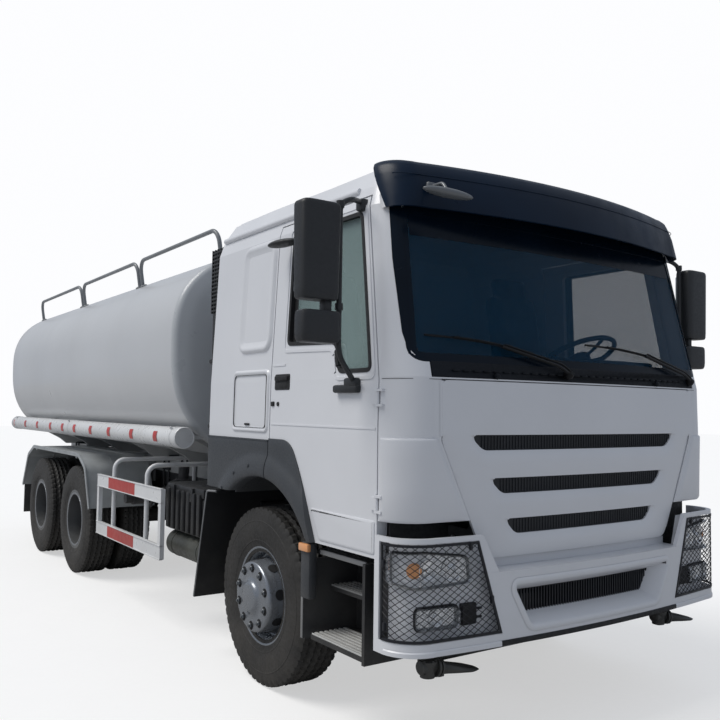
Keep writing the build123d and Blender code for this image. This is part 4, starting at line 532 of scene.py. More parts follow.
# ------------------------------------------------------------------ hose tubes
# Round steel tubes along both flanks that store the suction hoses, with a screw cap at each end,
# strap clamps up to the tank and red reflector squares riveted along the outside.
TUBE_Y = 1.120
TUBE_Z = 1.415
TUBE_RADIUS = 0.078
REFLECTORS = (-6.7, -6.1, -5.5, -4.9, -4.4, -3.95, -3.4, -2.85, -2.25, -1.7)
tube_white = finish("tube_white", (0.68, 0.69, 0.70), 0.3, vary=0.07, patch=1.5, dust=0.5, dust_top=2.2,
                    dust_colour=(0.45, 0.42, 0.37, 1), Coat_Weight=0.3)
reflector_red = finish("reflector_red", (0.50, 0.018, 0.012), 0.22, vary=0.15, grain=300, bump=0.3)
coat("hose_tubes", tube_white)
caps = bmesh.new()
marks = bmesh.new()
for _, side in SIDES:
    for x, out in ((-6.85, -1), (-1.3, 1)):
        add_lathe(caps, [(along, TUBE_RADIUS + wide) for along, wide in
                         ((-0.035, 0.004), (0.0, 0.004), (0.006, 0.0), (0.006, -0.006), (0.003, -0.009),
                          (0.004, -TUBE_RADIUS))], at(x, side * TUBE_Y, TUBE_Z), (out, 0, 0), 40)
    for x in (-6.675, -4.22, -1.425):
        add_lathe(caps, [(along, TUBE_RADIUS + wide) for along, wide in
                         ((-0.022, 0.001), (-0.02, 0.0035), (0.02, 0.0035), (0.022, 0.001))],
                  at(x, side * TUBE_Y, TUBE_Z), (1, 0, 0), 40)
        add_bolt(caps, at(x, side * (TUBE_Y + 0.05), TUBE_Z + 0.065), (0, side * 0.6, 0.8), 0.01, 0.02)
    reach = TUBE_RADIUS + 0.003
    for x in REFLECTORS:
        add_sheet(marks, [[at(x + end, side * (TUBE_Y + reach * cos(a)), TUBE_Z + reach * sin(a))
                           for end in (-0.04, 0.04)] for a in [0.52 * (k / 4 - 1) for k in range(9)]])
piece_from(caps, "tube_caps", "chassis", tube_white)
piece_from(marks, "tube_reflectors", "chassis", reflector_red)

# ------------------------------------------------------------------ rear mudguards
# Galvanised sheet bent over both driven axles, with a rolled outer edge and a rubber flap behind.
# Tube brackets carry them from the frame rails.
guard_zinc = finish("guard_zinc", (0.36, 0.38, 0.39), 0.42, metal=0.25, vary=0.14, patch=6, dust=0.25, dust_top=1.4)
coat("rear_mudguards", guard_zinc)
beads = bmesh.new()
GUARD_PATH = ((-5.925, 0.69), (-5.70, 1.055), (-5.43, 1.166), (-3.62, 1.166), (-3.40, 1.058), (-3.237, 0.69))
for _, side in SIDES:
    for y, lift in ((1.236, 0.012), (0.95, 0.005), (0.78, 0.005)):
        add_tube(beads, [at(x, side * y, z + lift) for x, z in GUARD_PATH], 0.006, 8, 0.14)
piece_from(beads, "guard_beads", "chassis", guard_zinc)
flaps = bmesh.new()
flap_rubber = finish("flap_rubber", (0.02, 0.02, 0.021), 0.65, vary=0.3, dust=0.25, grain=150)
for _, side in SIDES:
    add_boxes(flaps, (-5.94, side * 0.63, 0.36, -5.925, side * 1.215, 0.74, 0.003))
    for k in range(4):
        add_bolt(flaps, at(-5.94, side * (0.70 + 0.15 * k), 0.715), (-1, 0, 0), 0.009, 0.006)
piece_from(flaps, "rear_flaps", "chassis", flap_rubber)

# ------------------------------------------------------------------ side guards
# Welded channel frames that keep riders and walkers out from under the flanks, hung on bent tubes.
# White paint with a red band of adhesive film over the middle of both rails.
guard_white = finish("guard_white", (0.70, 0.71, 0.72), 0.32, vary=0.06, dust=0.25, dust_top=1.3)
band_red = finish("band_red", (0.42, 0.025, 0.018), 0.35, vary=0.12, dust=0.2, dust_top=1.2)
coat("side_guards", guard_white)
bands = bmesh.new()
rims = bmesh.new()
for _, side in SIDES:
    for z_low, z_high in ((0.512, 0.612), (0.93, 1.03)):
        add_boxes(bands, (-2.66, side * 1.2385, z_low + 0.004, -2.0, side * 1.2412, z_high - 0.004, 0))
        for z in (z_low, z_high):
            add_boxes(rims, (-2.975, side * 1.216, z - 0.0035, -1.425, side * 1.2445, z + 0.0035, 0.001))
piece_from(bands, "guard_bands", "chassis", band_red)
piece_from(rims, "guard_lips", "chassis", guard_white)

# ------------------------------------------------------------------ boxes on the frame
# A ribbed black battery cover, a brushed alloy fuel tank held by straps, the water pump with its
# flanged outlet, and the tall plastic air intake that stands behind the cab on the right.
box_black = finish("box_black", (0.012, 0.013, 0.015), 0.42, vary=0.25, dust=0.18, dust_top=1.25, grain=180, bump=0.3)
tank_alloy = finish("tank_alloy", (0.55, 0.56, 0.57), 0.33, metal=0.85, vary=0.1, grain=260, dust=0.25)
intake_black = finish("intake_black", (0.018, 0.019, 0.021), 0.55, vary=0.2, grain=240, bump=0.4)
cover = bmesh.new()
add_boxes(cover, (-1.716, -1.072, 0.700, -1.024, -0.604, 0.99, 0.02),
          (-1.72, -1.082, 0.985, -1.02, -0.60, 1.058, 0.018))
for k in range(7):
    x = -1.69 + 0.096 * k
    add_boxes(cover, (x, -1.099, 0.715, x + 0.056, -1.05, 1.02, 0.016))
for x in (-1.6, -1.25):
    add_boxes(cover, (x, -0.605, 0.80, x + 0.09, -0.431, 0.90, 0.008),
              (x + 0.02, -1.0995, 0.95, x + 0.07, -1.07, 1.05, 0.004))
piece_from(cover, "battery_cover", "chassis", box_black, ["battery_box"])
olive_grey = finish("olive_grey", (0.045, 0.050, 0.042), 0.45, vary=0.3, patch=5, grain=150, bump=0.3, dust=0.25)
reservoir = bmesh.new()
add_lathe(reservoir, ((-0.345, 0.02), (-0.342, 0.075), (-0.325, 0.098), (0.325, 0.098), (0.342, 0.075), (0.345, 0.02)),
          at(-1.37, -0.985, 0.592), (1, 0, 0), 40)
for x in (-1.60, -1.14):
    add_lathe(reservoir, ((-0.012, 0.101), (0.012, 0.101)), at(x, -0.985, 0.592), (1, 0, 0), 40)
    add_boxes(reservoir, (x - 0.015, -0.98, 0.66, x + 0.015, -0.80, 0.705, 0.004))
piece_from(reservoir, "air_reservoir", "chassis", olive_grey)
drum = bmesh.new()
DRUM_Y, DRUM_Z = 0.855, 0.765
drum_section = []
for middle_y, middle_z, start in ((1.06, 0.97, 0), (0.65, 0.97, 1), (0.65, 0.56, 2), (1.06, 0.56, 3)):
    for angle in [pi / 2 * (start + k / 6) for k in range(7)]:
        drum_section.append((middle_y + 0.09 * cos(angle), middle_z + 0.09 * sin(angle)))
add_sheet(drum, [[at(x, DRUM_Y + (y - DRUM_Y) * (1 - inset), DRUM_Z + (z - DRUM_Z) * (1 - inset))
                  for y, z in drum_section] for x, inset in
                 ((-2.3, 0.03), (-2.298, 0.012), (-2.29, 0.0), (-1.07, 0.0), (-1.062, 0.012), (-1.06, 0.03))],
          True, True)
for k in range(3):
    add_boxes(drum, (-2.2995, 0.70 + 0.1 * k, 0.56, -2.29, 0.73 + 0.1 * k, 0.96, 0.003))
piece_from(drum, "fuel_drum", "chassis", tank_alloy, ["fuel_tank"])
straps = bmesh.new()
STRAP_GROW = 0.004
for x in (-2.15, -1.3):
    for (y0, z0), (y1, z1) in zip(drum_section[-1:] + drum_section, drum_section):
        if max(y0, y1) < 0.57:
            continue
        quad = []
        for y, z, x_off in ((y0, z0, 0.0), (y1, z1, 0.0), (y1, z1, 0.055), (y0, z0, 0.055)):
            out = Vector((y - DRUM_Y, z - DRUM_Z)).normalized() * STRAP_GROW
            quad.append(straps.verts.new(at(x + x_off, min(1.15, y + out.x), max(0.47, min(1.06, z + out.y)))))
        straps.faces.new(quad)
    add_boxes(straps, (x, 0.431, 0.72, x + 0.09, 0.562, 0.86, 0.008))
add_lathe(straps, ((0, 0.055), (0.02, 0.055), (0.026, 0.045), (0.028, 0.02)), at(-1.5, 1.0, 1.052), (0, 0.3, 1), 24)
piece_from(straps, "drum_straps", "chassis", chassis_black)

pump = bmesh.new()
PUMP = at(-2.42, -0.65, 0.86)
add_lathe(pump, ((-0.15, 0.07), (-0.148, 0.12), (-0.09, 0.148), (0.0, 0.15), (0.07, 0.148), (0.12, 0.11), (0.15, 0.05)),
          PUMP, (1, 0, 0), 40)
add_boxes(pump, (-2.49, -0.65, 0.78, -2.35, -0.431, 0.90, 0.01))
add_lathe(pump, ((0.1, 0.05), (0.42, 0.05), (0.44, 0.052), (0.46, 0.052)), PUMP, (0, -1, 0), 28)
add_lathe(pump, ((0.40, 0.040), (0.52, 0.040)), PUMP, (0, -1, 0), 28)
for reach in (0.17, 0.30):
    add_lathe(pump, ((reach, 0.085), (reach + 0.018, 0.085)), PUMP, (0, -1, 0), 28)
    for angle in circle(6):
        add_bolt(pump, PUMP + Vector((0.07 * cos(angle), -reach - 0.018, 0.07 * sin(angle))), (0, -1, 0), 0.009, 0.01)
add_lathe(pump, ((0.04, 0.045), (0.26, 0.045)), PUMP, (0, 0, 1), 24)
add_lathe(pump, ((0.14, 0.07), (0.155, 0.07)), PUMP, (0, 0, 1), 24)
piece_from(pump, "pump_casing", "chassis", cast_black, ["water_pump"])

stack = bmesh.new()
add_boxes(stack, (-0.88, -1.12, 1.17, -0.684, -0.842, 2.755, 0.035))
for k in range(16):
    z = 2.31 + 0.027 * k
    add_boxes(stack, (-0.865, -1.1275, z, -0.70, -1.10, z + 0.013, 0.003))
for k in range(5):
    add_boxes(stack, (-0.87 + 0.042 * k, -1.1265, 2.30, -0.862 + 0.042 * k, -1.105, 2.745, 0.002))
for z in (1.5, 1.95):
    add_boxes(stack, (-0.8795, -1.1275, z, -0.6845, -0.841, z + 0.03, 0.008))
add_boxes(stack, (-0.86, -1.125, 1.131, -0.70, -0.351, 1.18, 0.012),
          (-0.86, -0.429, 1.001, -0.80, -0.351, 1.14, 0.006))
piece_from(stack, "intake_stack", "chassis", intake_black, ["air_intake"])

# ------------------------------------------------------------------ cab shell
# Pressed and spot-welded steel body in gloss white, on hinges at the front of the frame.
# Its side wall behind the door has a pressed hatch, a recessed panel and a waist swage.
CAB_LEVELS = (
    # z, half width, nose x, corner x, shoulder y, end of the flat side
    (0.930, 1.212, 1.478, 1.425, 1.030, 1.262),
    (1.530, 1.216, 1.488, 1.435, 1.030, 1.270),
    (1.800, 1.212, 1.486, 1.430, 1.030, 1.266),
    (2.660, 1.168, 1.280, 1.225, 1.040, 1.085),
    (2.770, 1.130, 1.245, 1.190, 1.000, 1.050),
    (2.880, 1.060, 1.150, 1.105, 0.930, 0.980),
)
cab_white = finish("cab_white", (0.70, 0.71, 0.74), 0.36, vary=0.03, patch=1.3, grain=8, bump=0.05,
                   dust=0.12, dust_top=1.5, dust_colour=(0.55, 0.52, 0.47, 1), Coat_Weight=0.35, Coat_Roughness=0.22)
seam_black = finish("seam_black", (0.012, 0.012, 0.013), 0.7, vary=0.2)
coat("cab_shell", cab_white)


def cab_level(z):
    """The cab's plan sizes at a height: half width, nose x, corner x, shoulder y and side end."""
    for low, high in zip(CAB_LEVELS, CAB_LEVELS[1:]):
        if z <= high[0]:
            share = max(0.0, (z - low[0]) / (high[0] - low[0]))
            return [a + (b - a) * share for a, b in zip(low[1:], high[1:])]
    return list(CAB_LEVELS[-1][1:])


def sagged(nose, corner, shoulder, y):
    """How far forward a bowed front stands at y, from its x in the middle to its x at the shoulder."""
    sag = nose - corner
    radius = (shoulder ** 2 + sag ** 2) / (2 * sag)
    return nose - (radius - sqrt(radius ** 2 - y ** 2))


def cab_front_x(y, z):
    """How far forward the cab's skin stands at a place across it."""
    half, nose, corner, shoulder, side_end = cab_level(z)
    y = abs(y)
    if y <= shoulder:
        return sagged(nose, corner, shoulder, y)
    share = min(1.0, (y - shoulder) / (half - shoulder))
    return side_end + (corner - side_end) * sqrt(1 - share ** 2)


def on_front(y, z, proud=0.0):
    """A place on the cab's front skin, lifted off it by proud."""
    step = 0.01
    slope_y = (cab_front_x(y + step, z) - cab_front_x(y - step, z)) / (2 * step)
    slope_z = (cab_front_x(y, z + step) - cab_front_x(y, z - step)) / (2 * step)
    out = Vector((1, -slope_y, -slope_z)).normalized()
    return at(cab_front_x(y, z), y, z) + out * proud


def on_side(side, x, z, proud=0.0):
    """A place on the cab's flat side, lifted off it by proud."""
    return at(x, side * (cab_level(z)[0] + proud), z)


def rounded(outline, radius, parts=6):
    """The outline's corners rounded off, as a closed run of places."""
    outline = [Vector(place) for place in outline]
    run = []
    for corner in zip(outline[-1:] + outline, outline, outline[1:] + outline[:1]):
        run += bent(*corner, radius, parts)
    return run


def divided(run, pitch, closed=True):
    """The run with points no further apart than pitch."""
    places = []
    pairs = list(zip(run, run[1:] + run[:1])) if closed else list(zip(run, run[1:]))
    for here, ahead in pairs:
        count = max(1, ceil((ahead - here).length / pitch))
        places += [here.lerp(ahead, k / count) for k in range(count)]
    if not closed:
        places.append(run[-1])
    return places


def add_rows(mesh, run, surface, steps, closed=True):
    """Skins lines beside a run drawn on a surface, each step its way outwards and how proud it stands."""
    count = len(run)
    middle = sum(run, Vector((0, 0))) / count
    rows = [[] for _ in steps]
    for index, here in enumerate(run):
        if closed:
            along = run[(index + 1) % count] - run[index - 1]
        else:
            along = run[min(index + 1, count - 1)] - run[max(index - 1, 0)]
        across = Vector((-along.y, along.x)).normalized()
        if closed and across.dot(here - middle) < 0:
            across.negate()
        for row, (out, proud) in zip(rows, steps):
            row.append(mesh.verts.new(surface(here.x + across.x * out, here.y + across.y * out, proud)))
    add_skin(mesh, rows, closed)
    return rows


def add_strip(mesh, run, surface, inner, outer, proud, closed=True, lift=0.0):
    """A flat strip along a run drawn on a surface, from inner to outer beside it, standing proud."""
    add_rows(mesh, run, surface, ((inner, lift), (inner, proud), (outer, proud), (outer, lift)), closed)


def add_panel(mesh, outline, surface, proud, edge=0.006, lift=-0.002):
    """A plate that covers an outline on a surface, with a rounded rim."""
    rows = add_rows(mesh, outline, surface, ((0.0, lift), (0.0, proud * 0.55), (-edge * 0.4, proud * 0.9),
                                             (-edge, proud)))
    mesh.faces.new(rows[-1])


def oblong(x0, x1, z0, z1, radius=0.02, parts=5):
    """A rounded rectangle between two corners."""
    return rounded([(x0, z0), (x1, z0), (x1, z1), (x0, z1)], radius, parts)


def add_dish(mesh, outline, surface, rise, width):
    """A pressed frame: a raised bead round an outline that falls to a flat field inside it."""
    add_rows(mesh, outline, surface, ((0.45 * width, 0.0), (0.2 * width, rise * 0.8), (0.0, rise),
                                      (-0.25 * width, rise * 0.75), (-0.8 * width, 0.0), (-width, -0.0006)))


def cab_run(z, steps=30):
    """The cab's plan outline at a height, from the middle of the nose to behind the corner."""
    half, _, _, shoulder, side_end = cab_level(z)
    run = [Vector((cab_front_x(shoulder * k / steps, z), shoulder * k / steps)) for k in range(steps)]
    for k in range(steps + 1):
        y = shoulder + (half - shoulder) * sin(pi / 2 * k / steps)
        run.append(Vector((cab_front_x(min(y, half - 1e-6), z), y)))
    run.append(Vector((side_end - 0.2, half)))
    return run


def round_corner(side, along, z, proud):
    """A place on the cab by its distance round the corner from the middle of the nose."""
    run = cab_run(z)
    left = along
    for here, ahead in zip(run, run[1:]):
        length = (ahead - here).length
        if left <= length or ahead is run[-1]:
            way = (ahead - here).normalized()
            spot = here + way * left
            return at(spot.x + way.y * proud, side * (spot.y - way.x * proud), z)
        left -= length


def run_length(z, y=None):
    """The distance along the cab's plan outline to a place across it, or to where its side turns straight."""
    total = 0.0
    run = cab_run(z)[:-1]
    for here, ahead in zip(run, run[1:]):
        if y is not None and ahead.y >= y:
            return total + (ahead - here).length * (y - here.y) / max(1e-9, ahead.y - here.y)
        total += (ahead - here).length
    return total


pressed = bmesh.new()
gaps = bmesh.new()
for _, side in SIDES:
    skin = lambda x, z, proud, side=side: on_side(side, x, z, proud)
    add_dish(pressed, divided(oblong(-0.30, 0.15, 1.51, 1.86, 0.035), 0.05), skin, 0.010, 0.030)
    add_strip(gaps, divided(oblong(-0.283, 0.133, 1.527, 1.843, 0.03), 0.05), skin, -0.0008, 0.0008, 0.0075)
    add_dish(pressed, divided(oblong(-0.24, 0.14, 2.0, 2.63, 0.07), 0.05), skin, 0.017, 0.055)
    add_block(gaps, on_side(side, -0.1, 1.545, 0.005), (0.03, 0.003, 0.006), 0.002)
    gutter = ((-0.62, 1.139), (-0.2, 1.139), (0.4, 1.139), (0.95, 1.132))
    add_tube(pressed, [at(x, side * y, 2.765) for x, y in gutter], 0.018, 12)
    rail = ((-0.60, 1.02, 2.882), (-0.1, 1.02, 2.885), (0.85, 1.0, 2.882))
    add_tube(pressed, [at(x, side * y, z) for x, y, z in rail], 0.022, 12)
roof = lambda x, y, proud: at(x, y, 2.9225 + proud)
for y in (-0.55, -0.28, 0.0, 0.28, 0.55):
    add_panel(pressed, oblong(-0.35, 0.65, y - 0.045, y + 0.045, 0.03), roof, 0.007, 0.012)
add_panel(pressed, oblong(-0.15, 0.45, -0.35, 0.35, 0.05), roof, 0.0085, 0.015)
piece_from(pressed, "cab_pressings", "cab", cab_white, smooth=50)

# The corner panels below the waist stand a little proud of the cab, and the waist seam runs round to the doors.
CORNER_COLUMNS = 22
WAIST_Z = 1.79
corners = bmesh.new()
for _, side in SIDES:
    rows = []
    for share, lift in ((0.0, -0.004), (0.0, 0.006), (0.012, 0.0105), (0.035, 0.012), (0.25, 0.0115), (0.6, 0.011),
                        (0.97, 0.0105), (1.0, 0.005), (1.0, -0.004)):
        z = 1.512 - share * 0.385
        near = run_length(z, 0.995 - max(0.0, 1.5 - z) * 0.466 + 0.012)
        far = run_length(z) + 0.012
        rows.append([round_corner(side, near + (far - near) * k / CORNER_COLUMNS, z,
                                  lift if 0 < k < CORNER_COLUMNS else min(lift, 0.0))
                     for k in range(CORNER_COLUMNS + 1)])
    add_sheet(corners, rows)
    add_sheet(corners, [[on_front(side * y, 1.522 + 0.262 * k / 8, 0.0016) for y in (0.978, 0.9995)]
                        for k in range(9)])
    near = run_length(WAIST_Z, 0.99)
    far = run_length(WAIST_Z)
    add_sheet(gaps, [[round_corner(side, near + (far - near) * k / 12, z, 0.0012) for k in range(13)]
                     for z in (WAIST_Z - 0.0014, WAIST_Z + 0.0012)])
piece_from(corners, "cab_corners", "cab", cab_white, smooth=50)
piece_from(gaps, "cab_seams", "cab", seam_black)

# ------------------------------------------------------------------ windscreen, cowl and wipers
# Laminated tinted glass bonded behind a black ceramic border, over a louvred black plastic cowl.
# Two pantograph wipers park low across the glass.
SCREEN = ((-1.14, 1.88), (1.14, 1.88), (1.085, 2.65), (-1.085, 2.65))
SCREEN_CORNER = 0.075
glass_tint = finish("glass_tint", (0.004, 0.036, 0.075), 0.03, vary=0.2, patch=0.8, bump=0.0, Alpha=0.45,
                    Specular_IOR_Level=0.12)
border_black = finish("border_black", (0.002, 0.006, 0.013), 0.22, vary=0.2, bump=0.02, Specular_IOR_Level=0.15)
cowl_black = finish("cowl_black", (0.004, 0.006, 0.010), 0.5, vary=0.25, grain=300, bump=0.3, Specular_IOR_Level=0.2)
coat("windscreen", glass_tint)
band = bmesh.new()
screen_run = divided(rounded(SCREEN, SCREEN_CORNER, 8), 0.05)
add_strip(band, screen_run, on_front, -0.034, 0.009, 0.0015, lift=-0.0055)
# A dark sheet just behind the top of the glass: painted shade for the shadow under the roof and visor.
visor_shade_sheet = bmesh.new()
add_sheet(visor_shade_sheet, [[on_front(-1.05 + 2.1 * k / 44, z, -0.0028) for k in range(45)] for z in (2.50, 2.62)])
# The border widens up each pillar towards the visor: black border low down, and painted shade under the visor above it.
for _, side in SIDES:
    rows = []
    for k in range(17):
        z = 1.905 + 0.84 * k / 16
        half_glass = 1.14 - 0.0714 * (z - 1.88)
        begin = run_length(z, min(half_glass, cab_level(z)[0] - 0.004)) - 0.012
        wide = 0.012 + 0.050 * min(1.0, (z - 1.905) / 0.72 + 0.35) * min(1.0, k / 2)
        rows.append([round_corner(side, begin + wide * j / 6, z, 0.0013) for j in range(7)])
    add_sheet(band, rows)
# A black band from the screen's top up under the visor: painted shade.
add_sheet(band, [[on_front(-1.10 + 2.20 * k / 44, z, 0.0011) for k in range(45)] for z in (2.63, 2.665, 2.70, 2.745)])
piece_from(band, "screen_border_and_shade", "cab", border_black)
piece_from(visor_shade_sheet, "screen_painted_shade", "cab", border_black)
cowl = bmesh.new()
add_panel(cowl, divided(oblong(-1.04, 1.04, 1.802, 1.878, 0.012, 3), 0.06), on_front, 0.002, 0.008, -0.05)
for k in range(30):
    add_block(cowl, on_front(-0.90 + 1.80 * k / 29, 1.835, 0.004), (0.006, 0.022, 0.004), 0.002)
for y in (-0.66, 0.62):
    add_lathe(cowl, ((0, 0.016), (0.012, 0.014), (0.016, 0.006)), on_front(y, 1.812, 0.006), (1, 0, 0.3), 14)
wiper_black = finish("wiper_black", (0.004, 0.004, 0.005), 0.42, Specular_IOR_Level=0.25, vary=0.2, grain=300, bump=0.2)
sweep = bmesh.new()
lean_out = (on_front(0, 2.0, 0.02) - on_front(0, 2.0)) * 0.6
for pivot_y, elbow, tip_y, tip_z in ((-0.16, (-0.62, 1.955), -1.06, 1.995), (1.0, (0.52, 1.965), 0.02, 2.005)):
    root = on_front(pivot_y, 1.835, 0.01)
    add_lathe(sweep, ((-0.01, 0.024), (0.012, 0.024), (0.024, 0.016), (0.03, 0.01)), root, (1, 0, 0.25), 20)
    elbow_place = on_front(*elbow, 0.035)
    add_tube(sweep, (root + Vector((0.015, 0, 0)), on_front(pivot_y - 0.08, 1.87, 0.036), elbow_place), 0.0085, 8)
    add_tube(sweep, (root + Vector((0.012, 0.03, 0.004)), on_front(pivot_y - 0.05, 1.885, 0.032),
                     elbow_place + Vector((0, 0.02, 0.012))), 0.005, 8)
    blade = [on_front(tip_y + (pivot_y - 0.12 - tip_y) * k / 10, tip_z - 0.085 * (k / 10) ** 2, 0.012)
             for k in range(11)]
    add_tube(sweep, blade, 0.006, 6, 0.01)
    add_tube(sweep, [place + lean_out for place in blade[2:9]], 0.0045, 6, 0.01)
piece_from(cowl, "cowl_panel", "cab", cowl_black, ["wipers"])
piece_from(sweep, "wiper_arms", "cab", wiper_black)

# ------------------------------------------------------------------ sun visor
# One moulded sheet of dark tinted acrylic across the top of the screen, on brackets from the roof.
# A small kerb mirror hangs from a bracket near its right-hand end.
visor_ink = finish("visor_ink", (0.003, 0.011, 0.027), 0.34, vary=0.3, patch=1.5, grain=40, bump=0.03,
                   Specular_IOR_Level=0.16)
mirror_grey = finish("mirror_grey", (0.16, 0.17, 0.18), 0.35, metal=0.3, vary=0.15)
mirror_face = finish("mirror_face", (0.75, 0.77, 0.78), 0.05, metal=1.0, vary=0.03, bump=0.0)
VISOR_ROWS = (
    # z, nose x, x at the shoulder, half width, rear x
    (2.632, 1.440, 1.322, 1.158, 1.205),
    (2.66, 1.438, 1.318, 1.158, 1.188),
    (2.745, 1.424, 1.304, 1.156, 1.137),
    (2.81, 1.405, 1.280, 1.152, 1.102),
    (2.855, 1.383, 1.258, 1.144, 1.080),
    (2.880, 1.352, 1.228, 1.130, 1.068),
    (2.896, 1.305, 1.180, 1.105, 1.055),
    (2.901, 1.230, 1.110, 1.070, 1.030),
)


def visor_ring(row, inset):
    """The visor's plan at one height from its right end to its left, shrunk by inset."""
    z, nose, corner, half, rear = row
    shoulder = 0.985
    half = half - inset
    run = []
    for k in range(-24, 25):
        if abs(k) <= 14:
            y = shoulder * k / 14
            run.append((sagged(nose, corner, shoulder, y) - inset, y))
        else:
            angle = pi / 2 * (abs(k) - 14) / 10
            y = copysign(shoulder + (half - shoulder) * sin(angle), k)
            run.append((rear + (corner - inset - rear) * cos(angle), y))
    return [at(x, y, z) for x, y in run]


hood = bmesh.new()
rings = [visor_ring(row, 0.0) for row in reversed(VISOR_ROWS)]
for row, drop in ((VISOR_ROWS[0], 0.003), (VISOR_ROWS[2], 0), (VISOR_ROWS[3], 0)):
    rings.append([place - Vector((0, 0, drop)) for place in visor_ring(row, 0.008)])
hood.faces.new(add_sheet(hood, rings)[0])
groove = [p + Vector((0.0012, 0, 0)) for p in visor_ring((2.80, 1.4078, 1.2835, 1.1528, 1.168), 0.0)]
add_tube(hood, groove[3:-3], 0.0022, 6, 0.01)
piece_from(hood, "visor_sheet", "cab", visor_ink, ["sun_visor"], smooth=40)
ends = bmesh.new()
for _, side in SIDES:
    add_sheet(ends, [(at(rear + 0.003, side * (half - 0.004), z),
                      at(rear - 0.03, side * (cab_level(z)[0] - 0.012), z)) for z, _, _, half, rear in VISOR_ROWS])
piece_from(ends, "visor_end_plates", "cab", cab_white)


def add_kerb_mirror(mesh, middle, turns, size):
    """An oval mirror head about its middle, turned about the upright and the long axis."""
    bmesh.ops.create_uvsphere(mesh, u_segments=28, v_segments=14, radius=0.5,
                              matrix=Matrix.Translation(middle) @ Matrix.Rotation(turns[0], 4, "Z")
                              @ Matrix.Rotation(turns[1], 4, "X") @ Matrix.Diagonal((*size, 1)))


kerb = bmesh.new()
add_kerb_mirror(kerb, at(1.462, -0.98, 2.672), (-0.1, -0.04), (0.075, 0.29, 0.045))
add_tube(kerb, (at(1.325, -0.97, 2.735), at(1.41, -0.97, 2.735), at(1.45, -0.975, 2.685)), 0.009, 8, 0.02)
add_boxes(kerb, (1.318, -1.0, 2.715, 1.338, -0.94, 2.755, 0.006))
piece_from(kerb, "kerb_mirror_front", "cab", mirror_grey, smooth=60)
bars = bmesh.new()
for y in (-0.7, 0.0, 0.7):
    add_tube(bars, (on_front(y, 2.79, -0.01), on_front(y, 2.76, 0.03), at(cab_front_x(y, 2.745) + 0.13, y, 2.745)),
             0.010, 8, 0.02)
piece_from(bars, "visor_brackets", "cab", chassis_black)

# ------------------------------------------------------------------ wheel arches and lower cladding
# Injection-moulded dark grey plastic round the front wheels, screwed to the cab and the doors.
# A small amber marker lamp sits on each flare's foot, which stays with the step box.
clad_grey = finish("clad_grey", (0.038, 0.043, 0.050), 0.5, vary=0.15, patch=3, grain=350, bump=0.35,
                   dust=0.16, dust_top=1.5)
lamp_amber = finish("lamp_amber", (0.78, 0.36, 0.15), 0.2, vary=0.1, patch=20, grain=200, Coat_Weight=0.5)
FLARE_SECTION = ((0.662, 1.236), (0.668, 1.244), (0.680, 1.2485), (0.700, 1.2500), (0.735, 1.2470), (0.765, 1.2390),
                 (0.787, 1.2300), (0.800, 1.2250), (3.0, 1.2240))
ARCH_MIDDLE = Vector((0.09, 0.578))


def add_cladding(mesh, side, outer, first, last):
    """A moulded panel between the wheel arch's edge, from one angle to another, and an outer line."""
    columns = len(outer) - 1
    shares = (0, 0.02, 0.05, 0.10, 0.16, 0.22, 0.29, 0.36, 0.43, 0.50, 0.57, 0.64, 0.73, 0.84, 0.975, 1)
    rows = []
    for index, far in enumerate(outer):
        angle = radians(first + (last - first) * index / columns)
        near = ARCH_MIDDLE + Vector((cos(angle), sin(angle))) * FLARE_SECTION[0][0]
        row = []
        for share in shares:
            spot = near.lerp(far, share)
            reach = (spot - ARCH_MIDDLE).length
            for (r0, y0), (r1, y1) in zip(FLARE_SECTION, FLARE_SECTION[1:]):
                if reach <= r1:
                    break
            face = y0 + (y1 - y0) * min(1.0, max(0.0, (reach - r0) / (r1 - r0)))
            rim = 0.003 if share in (0, 1) or index in (0, columns) else 0.0
            row.append((mesh.verts.new(at(spot.x, side * (face - rim), spot.y)), spot))
        rows.append(row)
    add_skin(mesh, [[vert for vert, _ in row] for row in rows])
    loop = [row[0] for row in rows] + rows[-1][1:] + [row[-1] for row in reversed(rows[:-1])] + rows[0][-2:0:-1]
    add_skin(mesh, [[vert for vert, _ in loop], [mesh.verts.new(at(spot.x, side * 1.168, spot.y)) for _, spot in loop]],
             True)


for side_name, side in SIDES:
    corner = rounded(((0.180, 1.20), (0.180, 1.468), (0.428, 1.468), (0.551, 1.268), (0.696, 0.944), (0.60, 0.944)),
                     0.10, 10)
    line = [Vector((x, 1.468)) for x in (0.180, 0.225, 0.27)] + [p for p in corner if p.x > 0.29 and p.y > 1.0]
    line += [line[-1].lerp(Vector((0.696, 0.944)), k / 5) for k in (1, 2, 3, 4, 5)]
    moulding = bmesh.new()
    add_cladding(moulding, side, line[::-1], 33.57, 82.18)
    piece_from(moulding, f"door_cladding_{side_name}", f"door_{side_name}", clad_grey, [f"door_arch_{side_name}"],
               smooth=40)
cab_moulding = bmesh.new()
for _, side in SIDES:
    line = [Vector((0.172 - 0.822 * k / 25, 1.46)) for k in range(26)]
    line += [Vector((-0.65, 1.46 - 0.332 * k / 10)) for k in range(1, 11)]
    add_cladding(cab_moulding, side, line, 82.88, 123.82)
    add_sheet(cab_moulding, [[at(0.06 + reach * cos(a), side * y, ARCH_MIDDLE.y + reach * sin(a))
                              for reach, y in ((0.70, 0.64), (0.70, 1.134), (0.712, 1.134), (0.712, 0.64))]
                             for a in [radians(48.2 + 83.6 * k / 32) for k in range(33)]], True)
    add_boxes(cab_moulding, (-0.14, side * 0.64, 1.238, -0.125, side * 1.112, 1.30, 0.003),
              (0.145, side * 0.64, 1.268, 0.16, side * 1.112, 1.30, 0.003))
piece_from(cab_moulding, "cab_cladding", "cab", clad_grey, ["cab_arches"], smooth=40)
